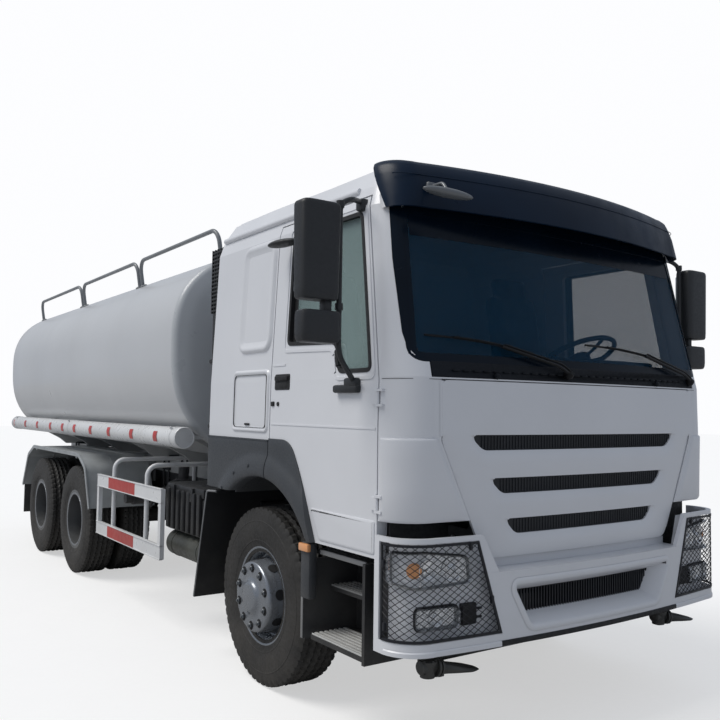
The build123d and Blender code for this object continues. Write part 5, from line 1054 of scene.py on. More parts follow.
for side_name, side in SIDES:
    foot = bmesh.new()
    add_boxes(foot, (0.582, side * 1.18, 0.640, 0.672, side * 1.234, 0.938, 0.014))
    piece_from(foot, f"flare_foot_{side_name}", "chassis", clad_grey)
    marker = bmesh.new()
    add_boxes(marker, (0.584, side * 1.225, 0.890, 0.678, side * 1.250, 0.932, 0.008))
    piece_from(marker, f"marker_lamp_{side_name}", "chassis", lamp_amber)
    screws = bmesh.new()
    for angle in [radians(52 + 15.6 * k) for k in range(6)]:
        spot = ARCH_MIDDLE + Vector((cos(angle), sin(angle))) * 0.73
        if spot.x < 0.173:
            add_lathe(screws, ((0, 0.011), (0.004, 0.010), (0.005, 0.004)), at(spot.x, side * 1.2495, spot.y),
                      (0, side, 0), 10)
    add_strip(screws, [Vector((-0.645, 1.455)), Vector((0.172, 1.455))],
              lambda x, z, proud, side=side: at(x, side * (1.224 + proud), z), -0.004, 0.003, 0.003, False)
    piece_from(screws, f"arch_screws_{side_name}", "cab", clad_grey)

# ------------------------------------------------------------------ inside of the cab
# A moulded dashboard, a spoked wheel on its column, two sprung seats in woven cloth and a bunk behind.
# The cushions are sewn covers over foam, so they crown in the middle and pull in at the seams.
trim_grey = finish("trim_grey", (0.060, 0.062, 0.066), 0.6, vary=0.15, grain=350, bump=0.3)
wheel_black = finish("wheel_black", (0.012, 0.012, 0.013), 0.4, vary=0.2, grain=250, bump=0.2)
seat_weave = finish("seat_weave", (0.045, 0.050, 0.062), 0.85, vary=0.25, patch=14, grain=900, bump=0.6,
                    Sheen_Weight=0.4)
coat("dashboard", trim_grey)
binnacle = bmesh.new()
add_boxes(binnacle, (1.10, 0.36, 1.895, 1.27, 0.88, 1.955, 0.02), (1.072, -0.30, 1.715, 1.10, 0.28, 1.82, 0.01))
for y in (-0.85, -0.42, 0.32, 0.93):
    add_boxes(binnacle, (1.07, y - 0.07, 1.74, 1.095, y + 0.07, 1.81, 0.008))
piece_from(binnacle, "dash_fittings", "cab", wheel_black)

hoop = bmesh.new()
HUB = at(0.9, 0.62, 2.0)
FOOT = at(1.09, 0.62, 1.62)
STEER_AXIS = (HUB - FOOT).normalized()
add_lathe(hoop, [(0.016 * cos(a), 0.24 + 0.015 * sin(a)) for a in circle(12)], HUB, STEER_AXIS, 48, closed=True)
add_lathe(hoop, ((-0.06, 0.03), (-0.05, 0.07), (-0.005, 0.075), (0.004, 0.06), (0.006, 0.02)), HUB, STEER_AXIS, 28)
for angle in circle(4, 0.5):
    spoke = Matrix.Rotation(angle, 3, STEER_AXIS) @ STEER_AXIS.orthogonal().normalized()
    add_tube(hoop, [HUB + spoke * out - STEER_AXIS * back for out, back in ((0.05, 0.03), (0.14, 0.022), (0.235, 0))],
             0.011, 8)
add_tube(hoop, (FOOT - STEER_AXIS * 0.02, HUB - STEER_AXIS * 0.05), 0.028, 16)
add_boxes(hoop, (1.0605, 0.5605, 1.465, 1.0995, 0.6795, 1.68, 0.008))
piece_from(hoop, "steering_hoop", "cab", wheel_black, ["steering_wheel"])


def add_pad(mesh, middle, size, tilt, crown, step=0.022):
    """A foam pad: a rounded block whose large faces crown and whose seams pull in."""
    turn = Matrix.Rotation(tilt, 4, "Y")
    pad = bmesh.new()
    bmesh.ops.create_cube(pad, size=1)
    bmesh.ops.scale(pad, vec=size, verts=pad.verts)
    cuts = max(2, round(max(size) / step / 2))
    bmesh.ops.subdivide_edges(pad, edges=pad.edges, cuts=cuts, use_grid_fill=True)
    new = {}
    for vert in pad.verts:
        u = [2 * vert.co[k] / size[k] for k in range(3)]
        pull = [1 - 0.10 * (abs(u[(k + 1) % 3]) ** 6 + abs(u[(k + 2) % 3]) ** 6) / 2 for k in range(3)]
        swell = crown * (1 - u[0] ** 4) * (1 - u[1] ** 4)
        spot = Vector([vert.co[k] * pull[k] for k in range(3)])
        spot.z += swell * (1 if u[2] > 0 else -0.25) * abs(u[2])
        new[vert] = mesh.verts.new(turn @ spot + Vector(middle))
    for face in pad.faces:
        mesh.faces.new([new[vert] for vert in face.verts])
    pad.free()


def swell_pads(pieces, limit, voxel=0.02):
    """Blows foam pads up against their covers in one short run, no point moving more than limit."""
    joint = bmesh.new()
    evened = []
    for piece in pieces:
        remesh = piece.modifiers.new("even", "REMESH")
        remesh.mode = "VOXEL"
        remesh.voxel_size = voxel
        even = bpy.data.meshes.new_from_object(piece.evaluated_get(bpy.context.evaluated_depsgraph_get()))
        piece.modifiers.clear()
        evened.append((piece, even))
        joint.from_mesh(even)
    trial = bpy.data.objects.new("pads_trial", bpy.data.meshes.new("pads_trial"))
    joint.to_mesh(trial.data)
    joint.free()
    bpy.context.scene.collection.objects.link(trial)
    cloth = trial.modifiers.new("cover", "CLOTH")
    cloth.settings.use_pressure = True
    cloth.settings.uniform_pressure_force = 4
    cloth.settings.effector_weights.gravity = 0
    cloth.settings.quality = 3
    cloth.collision_settings.use_collision = False
    cloth.point_cache.frame_end = 20
    for moment in range(1, 21):
        bpy.context.scene.frame_set(moment)
    blown = bpy.data.meshes.new_from_object(trial.evaluated_get(bpy.context.evaluated_depsgraph_get()))
    bpy.data.objects.remove(trial)
    bpy.context.scene.frame_set(1)
    first = 0
    for piece, even in evened:
        for index, vert in enumerate(even.vertices):
            moved = blown.vertices[first + index].co - vert.co
            vert.co += moved * min(1.0, limit / max(1e-9, moved.length))
        first += len(even.vertices)
        cover = piece.data.materials[0]
        piece.data = even
        even.materials.clear()
        even.materials.append(cover)
        even.shade_smooth()


plinths = bmesh.new()
cushions = []
for side_name, side in SIDES:
    add_boxes(plinths, (0.19, side * 0.57, 1.462, 0.69, side * 1.05, 1.60, 0.015),
              (0.24, side * 0.62, 1.58, 0.64, side * 1.0, 1.715, 0.01))
    seat = bmesh.new()
    add_pad(seat, at(0.425, side * 0.81, 1.785), (0.52, 0.50, 0.115), 0.02, 0.02)
    cushion = piece_from(seat, f"seat_cushion_{side_name}", "cab", seat_weave, smooth=60)
    back = bmesh.new()
    add_pad(back, at(0.165, side * 0.81, 2.19), (0.60, 0.47, 0.10), pi / 2 - 0.19, 0.014)
    add_pad(back, at(0.10, side * 0.81, 2.545), (0.16, 0.30, 0.09), pi / 2 - 0.12, 0.01)
    backrest = piece_from(back, f"seat_back_{side_name}", "cab", seat_weave, smooth=60)
    cushions += [cushion, backrest]
bunk = bmesh.new()
add_pad(bunk, at(-0.285, 0.0, 1.745), (0.56, 2.08, 0.135), 0.0, 0.018, 0.05)
cushions.append(piece_from(bunk, "bunk_mattress", "cab", seat_weave, smooth=60))
swell_pads(cushions, 0.012)
piece_from(plinths, "seat_plinths", "cab", trim_grey, ["seats"])

# ------------------------------------------------------------------ front flap
# A hinged pressed panel over the radiator with three long slots, backed by dark wire gauze.
# Each slot sits in a shallow dished recess that is deepest along its lower edge.
FLAP_EDGE = ((-0.985, 1.7875), (0.985, 1.7875), (0.985, 1.5), (0.745, 0.985), (0.70, 0.932), (-0.70, 0.932),
             (-0.745, 0.985), (-0.985, 1.5))
FLAP_SLOTS = (
    # top, bottom, half width at the top, half width at the bottom
    (1.528, 1.452, 0.795, 0.735),
    (1.318, 1.240, 0.672, 0.612),
    (1.118, 1.040, 0.575, 0.520),
)
gauze_black = finish("gauze_black", (0.004, 0.006, 0.010), 0.45, vary=0.2, grain=500, bump=0.6)


def slot_outline(top, bottom, half_top, half_bottom, grow=0.0):
    """A slot with a straight top and lower corners rounded off."""
    shape = [Vector((-half_top - grow, top + grow)), Vector((half_top + grow, top + grow)),
             Vector((half_top + grow - 0.006, top - 0.028)), Vector((half_bottom + grow, bottom - grow)),
             Vector((-half_bottom - grow, bottom - grow)), Vector((-half_top - grow + 0.006, top - 0.028))]
    return divided(rounded(shape, 0.045, 5), 0.025)


def inside(outline, y, z):
    """Whether a place lies inside a closed outline."""
    crossed = [y < (b.x - a.x) * (z - a.y) / (b.y - a.y) + a.x
               for a, b in zip(outline[-1:] + outline, outline) if (a.y > z) != (b.y > z)]
    return sum(crossed) % 2 == 1


def reach_to(outline, y, z):
    """The distance from a place to the nearest point of an outline."""
    best = 9.0
    for a, b in zip(outline[-1:] + outline, outline):
        run = b - a
        share = max(0.0, min(1.0, ((y - a.x) * run.x + (z - a.y) * run.y) / max(1e-9, run.length_squared)))
        best = min(best, hypot(y - a.x - run.x * share, z - a.y - run.y * share))
    return best


flap_edge = divided(rounded(FLAP_EDGE, 0.035, 5), 0.03)
slots = [slot_outline(*row) for row in FLAP_SLOTS]
loops = [flap_edge] + slots
for row in FLAP_SLOTS:
    loops.append(slot_outline(*row, grow=0.012))
    loops.append(slot_outline(*row, grow=0.03))
points = [place.copy() for loop in loops for place in loop]
edges = []
start = 0
for loop in loops:
    edges += [(start + k, start + (k + 1) % len(loop)) for k in range(len(loop))]
    start += len(loop)
for row in range(25):
    for column in range(50):
        y = -0.98 + 0.04 * column + (0.02 if row % 2 else 0)
        z = 0.95 + 0.034 * row
        if inside(flap_edge, y, z) and reach_to(flap_edge, y, z) > 0.015 and \
                min(reach_to(loop, y, z) for loop in loops[1:]) > 0.012:
            points.append(Vector((y, z)))
flat_points, _, flat_faces, _, _, _ = delaunay_2d_cdt(points, edges, [], 1, 1e-5)
kept = []
for face in flat_faces:
    y = sum(flat_points[k].x for k in face) / len(face)
    z = sum(flat_points[k].y for k in face) / len(face)
    if inside(flap_edge, y, z) and not any(inside(slot, y, z) for slot in slots):
        kept.append(face)
panel = bmesh.new()


def flap_depth(y, z):
    """How far the flap's skin is pressed in: dished round each slot, rounded at the panel's rim."""
    depth = 0.0
    for row, slot in zip(FLAP_SLOTS, slots):
        gap = reach_to(slot, y, z)
        below = 1.0 if z < row[0] - 0.005 else 0.25
        depth = max(depth, 0.013 * below * max(0.0, 1 - gap / 0.034))
    rim = reach_to(flap_edge, y, z)
    if z < 1.52:
        depth += 0.008 * max(0.0, 1 - rim / 0.016) ** 2
    waist = max(0.0, 1 - abs(z - 1.60) / 0.012)
    return depth + 0.0025 * waist


outer_skin = [panel.verts.new(on_front(p.x, p.y, 0.0025 - flap_depth(p.x, p.y))) for p in flat_points]
inner_skin = [panel.verts.new(on_front(p.x, p.y, -0.021)) for p in flat_points]
rim_count = {}
for face in kept:
    panel.faces.new([outer_skin[k] for k in face])
    panel.faces.new([inner_skin[k] for k in reversed(face)])
    for a, b in zip(face, face[1:] + face[:1]):
        rim_count[(a, b)] = rim_count.get((a, b), 0) + 1
for a, b in rim_count:
    if (b, a) not in rim_count:
        panel.faces.new((outer_skin[b], outer_skin[a], inner_skin[a], inner_skin[b]))
loose = [v for v in panel.verts if not v.link_faces]
bmesh.ops.delete(panel, geom=loose, context="VERTS")
piece_from(panel, "flap_panel", "front_flap", cab_white, ["front_flap"], smooth=40)
gauze = bmesh.new()
for top, bottom, half_top, half_bottom in FLAP_SLOTS:
    add_sheet(gauze, [[on_front((half_top + 0.01) * (k / 20 - 1), z, -0.0205) for k in range(41)]
                      for z in (bottom - 0.01, top + 0.01)])
    for k in range(int(2 * half_bottom / 0.018)):
        add_block(gauze, on_front(-half_bottom + 0.02 * k, (top + bottom) / 2, -0.019),
                  (0.0015, 0.002, (top - bottom) / 2 - 0.004), 0)
bmesh.ops.remove_doubles(gauze, verts=gauze.verts, dist=0.0002)
piece_from(gauze, "flap_gauze", "front_flap", gauze_black)

# ------------------------------------------------------------------ doors
# Pressed steel doors on two front hinges, each with a lower crease, a flush black pull and a rubber
# seal round its glass. The right one carries a small kerb mirror over the window.
WINDOW = ((0.352, 2.64), (1.03, 2.64), (1.176, 1.83), (0.89, 1.83), (0.85, 1.985), (0.352, 2.003))
seal_black = finish("seal_black", (0.008, 0.008, 0.009), 0.6, vary=0.2, grain=200)
side_glass = finish("side_glass", (0.30, 0.41, 0.40), 0.04, vary=0.2, patch=0.9, bump=0.0, Alpha=0.42,
                    Specular_IOR_Level=0.5)
for side_name, side in SIDES:
    door_body = f"door_{side_name}"
    coat(door_body, cab_white)
    coat(f"door_glass_{side_name}", side_glass)
    skin = lambda x, z, proud, side=side: on_side(side, x, z, proud)
    seal = bmesh.new()
    add_strip(seal, divided(rounded(WINDOW, 0.04, 6), 0.06), skin, -0.016, 0.006, 0.003, lift=-0.021)
    seal.faces.new([seal.verts.new(skin(x, z, -0.0205)) for x, z in
                    ((0.352, 2.01), (0.408, 2.01), (0.408, 2.63), (0.352, 2.63))])
    piece_from(seal, f"window_seal_{side_name}", door_body, seal_black)
    pressing = bmesh.new()
    lower = divided(rounded([(0.735, 0.962), (1.222, 0.962), (1.222, 1.118), (0.648, 1.118)], 0.012, 3), 0.05)
    add_panel(pressing, lower, skin, 0.007, 0.014)
    for x, z, wide in ((1.225, 1.548, 0.008), (0.34, 1.885, 0.010)):
        add_strip(pressing, divided([Vector((0.20, z)), Vector((x, z))], 0.05, False), skin, 0.0, wide, 0.003, False)
    hood = divided(rounded([(0.318, 1.968), (0.832, 1.952), (0.866, 1.798), (1.208, 1.798), (1.062, 2.672),
                            (0.318, 2.672)], 0.04, 6), 0.05)
    add_strip(pressing, hood, skin, -0.008, 0.008, 0.004)
    piece_from(pressing, f"door_pressing_{side_name}", door_body, cab_white, smooth=50)
    pull = bmesh.new()
    add_panel(pull, oblong(0.232, 0.402, 1.748, 1.838, 0.014), skin, 0.004, 0.006)
    add_boxes(pull, (0.245, side * 1.208, 1.80, 0.388, side * 1.227, 1.828, 0.008),
              (0.255, side * 1.208, 1.758, 0.378, side * 1.2185, 1.79, 0.004),
              (0.198, side * 1.208, 1.655, 0.232, side * 1.222, 1.682, 0.004))
    add_lathe(pull, ((0, 0.013), (0.005, 0.012), (0.006, 0.004)), on_side(side, 0.275, 1.668), (0, side, 0), 20)
    piece_from(pull, f"door_pull_{side_name}", door_body, seal_black)
    card = bmesh.new()
    add_boxes(card, (0.24, side * 1.132, 1.50, 1.12, side * 1.148, 1.80, 0.006),
              (0.45, side * 1.10, 1.72, 0.95, side * 1.14, 1.775, 0.012))
    piece_from(card, f"door_card_{side_name}", door_body, trim_grey)
kerb = bmesh.new()
add_kerb_mirror(kerb, at(0.385, -1.262, 2.574), (0.1, 0.12), (0.25, 0.13, 0.045))
add_tube(kerb, (on_side(-1, 0.60, 2.655, 0.004), at(0.57, -1.20, 2.63), at(0.49, -1.25, 2.585)), 0.010, 10, 0.03)
add_boxes(kerb, (0.565, -1.164, 2.635, 0.63, -1.180, 2.672, 0.004))
piece_from(kerb, "kerb_mirror_side", "door_right", intake_black, smooth=60)

# ------------------------------------------------------------------ door mirrors
# Injection-moulded black shells on bent steel tube, one tall flat glass over one wide convex glass.
# The tube is clamped to the door above and below its window.
mirror_black = finish("mirror_black", (0.014, 0.0155, 0.018), 0.45, vary=0.18, grain=300, bump=0.3)


def add_shell(mesh, low, high, levels):
    """A moulded shell between two corners, by the scale at each level's height, softly squared in plan."""
    middle = (low + high) / 2
    half = (high - low) / 2
    add_sheet(mesh, [[(middle.x + copysign(abs(c) ** 0.4, c) * half.x * scale,
                       middle.y + copysign(abs(s) ** 0.4, s) * half.y * scale,
                       low.z + (high.z - low.z) * height)
                      for c, s in [(cos(a), sin(a)) for a in circle(36)]] for height, scale in levels], True, True)


for side_name, side in SIDES:
    shell = bmesh.new()
    add_shell(shell, at(1.078, side * 1.5035 - 0.1085, 2.15), at(1.195, side * 1.5035 + 0.1085, 2.612),
              ((0, 0.80), (0.008, 0.88), (0.03, 0.93), (0.10, 0.95), (0.95, 1), (0.975, 0.98), (0.992, 0.93),
               (1, 0.86)))
    add_shell(shell, at(1.082, side * 1.4925 - 0.1075, 1.95), at(1.188, side * 1.4925 + 0.1075, 2.10),
              ((0, 0.80), (0.03, 0.9), (0.12, 0.97), (0.3, 1), (0.85, 1), (0.95, 0.97), (1, 0.88)))
    arm_y = side * 1.372
    add_tube(shell, (at(1.03, side * 1.185, 2.688), at(1.12, side * 1.30, 2.665), at(1.13, arm_y, 2.63),
                     at(1.13, arm_y, 1.90), at(1.06, side * 1.236, 1.785)), 0.0135, 12, 0.06)
    add_boxes(shell, (1.003, side * 1.135, 2.64, 1.057, side * 1.199, 2.703, 0.012),
              (0.885, side * 1.205, 1.724, 1.095, side * 1.246, 1.765, 0.014),
              (0.985, side * 1.205, 1.75, 1.092, side * 1.247, 1.799, 0.014),
              (1.108, side * 1.43, 2.095, 1.16, side * 1.47, 2.155, 0.006))
    for z in (2.13, 2.625):
        add_lathe(shell, ((-0.016, 0.02), (0.016, 0.02)), at(1.13, arm_y, z), (0, 0, 1), 16)
    piece_from(shell, f"mirror_shell_{side_name}", f"door_{side_name}", mirror_black, [f"mirror_{side_name}"])
    faces = bmesh.new()
    for y, half_y, z_low, z_high in ((side * 1.503, 0.088, 2.19, 2.575), (side * 1.492, 0.087, 1.975, 2.08)):
        add_boxes(faces, (1.0745, y - half_y, z_low, 1.082, y + half_y, z_high, 0.003))
    piece_from(faces, f"mirror_glass_{side_name}", f"door_{side_name}", mirror_face)

# ------------------------------------------------------------------ bumper
# A moulded bumper in the cab's white with a deep slatted air opening, over a black rubber lip.
# A thin folded flange runs above the step where the flap's lower edge closes.
BUMPER = (1.565, 1.500, 1.060, 1.245, 1.330)
coat("front_bumper", cab_white)


def bumper_run():
    """The bumper's plan outline from its middle round to the end of its side."""
    face, corner, shoulder, half, side_end = BUMPER
    run = [Vector((sagged(face, corner, shoulder, y), y)) for y in [shoulder * k / 60 for k in range(61)]]
    for angle in [pi / 2 * k / 40 for k in range(1, 41)]:
        run.append(Vector((side_end + (corner - side_end) * cos(angle), shoulder + (half - shoulder) * sin(angle))))
    run.append(Vector((1.264, half)))
    return run


bumper_plan = bumper_run()
bumper_reach = [0.0]
for here, ahead in zip(bumper_plan, bumper_plan[1:]):
    bumper_reach.append(bumper_reach[-1] + (ahead - here).length)


def on_bumper(side, along, z, proud=0.0):
    """A place on the bumper's skin, by the distance along it from the middle."""
    index = 0
    while index < len(bumper_reach) - 2 and bumper_reach[index + 1] < along:
        index += 1
    share = (along - bumper_reach[index]) / (bumper_reach[index + 1] - bumper_reach[index])
    here = bumper_plan[index].lerp(bumper_plan[index + 1], share)
    run = (bumper_plan[index + 1] - bumper_plan[index]).normalized()
    return at(here.x + run.y * proud, side * (here.y - run.x * proud), z)


def bumper_along(y):
    """The distance along the bumper at a place across it."""
    index = 0
    while index < len(bumper_plan) - 2 and bumper_plan[index + 1].y < y:
        index += 1
    share = (y - bumper_plan[index].y) / max(1e-6, bumper_plan[index + 1].y - bumper_plan[index].y)
    return bumper_reach[index] + share * (bumper_reach[index + 1] - bumper_reach[index])


def across_bumper(y, z, proud):
    """A place on the bumper's skin, by its place across the vehicle."""
    return on_bumper(copysign(1, y), bumper_along(abs(y)), z, proud)


lip = bmesh.new()
hem = bmesh.new()
for _, side in SIDES:
    for z0, z1, p0, p1 in ((0.5375, 0.556, 0.0035, 0.0035), (0.556, 0.562, 0.0035, -0.001),
                           (0.5375, 0.5365, 0.0035, -0.026)):
        for under, first, last in ((lip, 0, 25), (hem, 25, 48)):
            add_sheet(under, [[on_bumper(side, 1.33 * k / 48, z, proud) for k in range(first, last + 1)]
                              for z, proud in ((z0, p0), (z1, p1))])
for under in (lip, hem):
    bmesh.ops.remove_doubles(under, verts=under.verts, dist=0.0003)
piece_from(hem, "bumper_hem", "chassis", cab_white)
backs = bmesh.new()
for _, side in SIDES:
    add_boxes(backs, (1.268, side * 0.80, 0.60, 1.276, side * 1.165, 1.116, 0.002),
              (1.18, side * 1.150, 0.60, 1.276, side * 1.158, 1.05, 0.002))
piece_from(backs, "bumper_backs", "chassis", seal_black)
piece_from(lip, "bumper_lip", "chassis", seal_black)
grille = bmesh.new()
for y in [-0.545 + 1.09 * k / 55 for k in range(56)]:
    add_box(grille, at(1.455, y - 0.0035, max(0.62, 0.65 + (abs(y) - 0.45) * 1.35)),
            at(1.478 - y * y / 17.4, y + 0.0035, 0.80), 0)
add_boxes(grille, (1.452, -0.58, 0.61, 1.4555, 0.58, 0.815, 0))
piece_from(grille, "bumper_grille", "chassis", gauze_black)
scoop = bmesh.new()
OPENING = ((-0.60, 0.815), (0.60, 0.815), (0.60, 0.785), (0.50, 0.61), (-0.50, 0.61), (-0.60, 0.785))
add_rows(scoop, divided(rounded(OPENING, 0.03, 4), 0.05), across_bumper,
         ((0.03, 0.0), (0.022, 0.004), (0.006, 0.0045), (-0.003, -0.002), (-0.05, -0.095)))
piece_from(scoop, "bumper_scoop", "chassis", cab_white, smooth=45)
tread = bmesh.new()
add_sheet(tread, [[across_bumper(-0.76 + 1.52 * k / 44, z, proud) for k in range(45)]
                  for z, proud in ((0.8855, -0.001), (0.8855, -0.115), (0.926, -0.115))])
piece_from(tread, "bumper_tread", "chassis", cab_white)

# ------------------------------------------------------------------ lamps and wire guards
# Each corner has a clear headlamp with an amber bulb and a fog lamp, set in a white inner panel.
# A guard of welded diamond wire in a flat black frame is screwed over both.
lamp_chrome = finish("lamp_chrome", (0.80, 0.81, 0.83), 0.12, metal=1.0, vary=0.06, grain=60, bump=0.05)
lamp_glass = finish("lamp_glass", (0.80, 0.83, 0.85), 0.03, vary=0.04, bump=0.0, Alpha=0.28,
                    Specular_IOR_Level=0.9)
wire_black = finish("wire_black", (0.012, 0.013, 0.018), 0.45, metal=0.2, vary=0.2)
GUARD_LOW, GUARD_HIGH = 0.597, 1.038
GUARD_LEAN = (0.826 - 0.684) / (1.040 - 0.595)
WIRE_PITCH, WIRE_RISE = 0.046, 0.031
guard_end = bumper_along(1.2449) + 0.02


def guard_inner(z):
    """The guard's inner edge, as a distance along the bumper, at a height."""
    return bumper_along(0.686 + (z - 0.595) * GUARD_LEAN)


for side_name, side in SIDES:
    nest = bmesh.new()
    rows = []
    for z in [0.585 + 0.464 * row / 8 for row in range(9)]:
        inner = guard_inner(z) - 0.03
        rows.append([on_bumper(side, inner + (guard_end + 0.012 - inner) * k / 20, z, -0.058) for k in range(21)])
    add_sheet(nest, rows)
    piece_from(nest, f"lamp_nest_{side_name}", "chassis", cab_white, smooth=60)
    skin = lambda along, z, proud, side=side: on_bumper(side, along, z, proud)
    head = ((bumper_along(0.85), 0.842), (bumper_along(1.15), 0.829), (guard_end - 0.01, 0.85),
            (guard_end - 0.01, 0.99), (bumper_along(1.1), 0.993), (bumper_along(0.86), 0.962))
    head_run = divided(rounded(head, 0.03, 5), 0.03)
    fog_run = divided(oblong(bumper_along(0.915), bumper_along(1.16), 0.645, 0.742, 0.03), 0.03)
    casing = bmesh.new()
    add_strip(casing, head_run, skin, -0.006, 0.006, -0.047, lift=-0.056)
    add_strip(casing, fog_run, skin, -0.008, 0.008, -0.046, lift=-0.056)
    add_box(casing, skin(bumper_along(0.853), 0.695, -0.06) - Vector((0.012, 0.046, 0.05)),
            skin(bumper_along(0.853), 0.695, -0.05) + Vector((0.012, 0.046, 0.05)), 0.006)
    for z in (0.675, 0.715):
        add_tube(casing, [skin(bumper_along(y), z, -0.05) for y in (0.82, 0.775)], 0.006, 8)
    piece_from(casing, f"lamp_casing_{side_name}", "chassis", seal_black)
    dish = bmesh.new()
    for outline in (head_run, fog_run):
        add_panel(dish, outline, skin, -0.056, 0.002, -0.0585)
    for y, z, radius in ((0.945, 0.905, 0.055), (1.075, 0.91, 0.048), (1.03, 0.694, 0.040)):
        centre = skin(bumper_along(y), z, -0.0555)
        add_lathe(dish, ((0.0, radius + 0.006), (0.005, radius + 0.004), (0.005, radius), (0.001, radius * 0.8),
                         (0.0005, radius * 0.3), (0.006, 0.012), (0.0065, 0.004)), centre,
                  skin(bumper_along(y), z, 0.0) - centre, 32)
    piece_from(dish, f"lamp_reflector_{side_name}", "chassis", lamp_chrome, smooth=60)
    bulb = bmesh.new()
    centre = skin(bumper_along(1.165), 0.912, -0.052)
    add_lathe(bulb, ((0, 0.036), (0.004, 0.034), (0.007, 0.022), (0.008, 0.006)), centre,
              skin(bumper_along(1.165), 0.912, 0.0) - centre, 24)
    piece_from(bulb, f"lamp_amber_{side_name}", "chassis", lamp_amber)
    cover = bmesh.new()
    add_panel(cover, head_run, skin, -0.041, 0.008, -0.047)
    add_panel(cover, fog_run, skin, -0.042, 0.006, -0.047)
    piece_from(cover, f"lamp_cover_{side_name}", "chassis", lamp_glass, smooth=50)

    guard = bmesh.new()
    frame_run = divided([Vector(place) for place in (
        (guard_inner(GUARD_LOW), GUARD_LOW), (guard_end, GUARD_LOW), (guard_end, GUARD_HIGH),
        (guard_inner(GUARD_HIGH), GUARD_HIGH))], 0.03)
    add_strip(guard, frame_run, skin, -0.014, -0.002, 0.0015, lift=-0.006)
    guard_start = guard_inner(GUARD_LOW) - 0.02
    for lean in (1, -1):
        for count in range(-40, 60):
            run = []
            for k in range(61):
                along = guard_start + (guard_end - guard_start) * k / 60
                z = GUARD_LOW + count * WIRE_RISE + lean * (along - 0.6) * WIRE_RISE / WIRE_PITCH
                if GUARD_LOW < z < GUARD_HIGH and guard_inner(z) < along < guard_end:
                    run.append((along, z))
            if len(run) > 2:
                add_tube(guard, [skin(*place, -0.003 + 0.0008 * lean) for place in run[::3] + [run[-1]]],
                         0.0019, 4, 0.005)
    for along, z in ((guard_inner(1.0) + 0.06, 1.018), (guard_end - 0.02, 0.94), (guard_end - 0.03, 0.66),
                     (guard_inner(0.76) + 0.01, 0.76)):
        add_block(guard, skin(along, z, -0.003), (0.008, 0.008, 0.018), 0.003)
    piece_from(guard, f"lamp_guard_{side_name}", "chassis", wire_black, ["lamp_guards", "lamps"] if side < 0 else [])

# ------------------------------------------------------------------ entry steps
# Moulded black step wells under the doors, with ribbed cast alloy treads bolted into them.
# The top of each well has a padded grey edge where boots rub it clean.
step_black = finish("step_black", (0.012, 0.013, 0.015), 0.45, vary=0.2, grain=250, bump=0.3, dust=0.14)
tread_alloy = finish("tread_alloy", (0.62, 0.62, 0.60), 0.45, metal=0.35, vary=0.15, grain=300, bump=0.4, dust=0.2)
edge_grey = finish("edge_grey", (0.20, 0.205, 0.21), 0.5, vary=0.2, grain=250, bump=0.3, dust=0.4)
coat("entry_steps", step_black)
treads = bmesh.new()
rubbed = bmesh.new()
for _, side in SIDES:
    for z, reach in ((0.461, 1.198), (0.701, 1.08)):
        plate = treads if z < 0.6 else rubbed
        for k in range(7):
            y = side * (reach - 0.018 - 0.030 * k)
            if abs(y) > 0.93:
                add_boxes(plate, (0.665, y - 0.008, z, 1.112, y + 0.008, z + 0.008, 0.002))
        add_box(rubbed, at(0.662, side * (reach - 0.22), z - 0.001), at(1.115, side * reach, z + 0.0025), 0.001)
        add_box(plate, at(0.662, side * reach, z - 0.016), at(1.115, side * (reach + 0.004), z + 0.007), 0.002)
    add_boxes(rubbed, (0.69, side * 1.168, 0.878, 1.105, side * 1.178, 0.903, 0.004),
              (0.557, side * 1.206, 0.42, 0.577, side * 1.2105, 0.838, 0.002))
piece_from(treads, "step_treads", "chassis", tread_alloy)
piece_from(rubbed, "step_edges", "chassis", edge_grey)

# ------------------------------------------------------------------ front mudguards
# Black moulded flaps behind the front wheels with a rolled pale edge, on tube brackets.
# They stay with the frame when the cab tips.
coat("front_mudguards", step_black)
rolled = bmesh.new()
for _, side in SIDES:
    add_tube(rolled, [at(x, side * 1.236, z) for x, z in ((-0.478, 1.104), (-0.622, 1.096), (-0.794, 0.376))],
             0.0065, 8, 0.02)
    for k in range(3):
        add_bolt(rolled, at(-0.70 - 0.03 * k, side * 0.9, 0.80 - 0.15 * k), (-1, 0, 0.25), 0.009, 0.006)
piece_from(rolled, "flap_edges", "chassis", edge_grey)

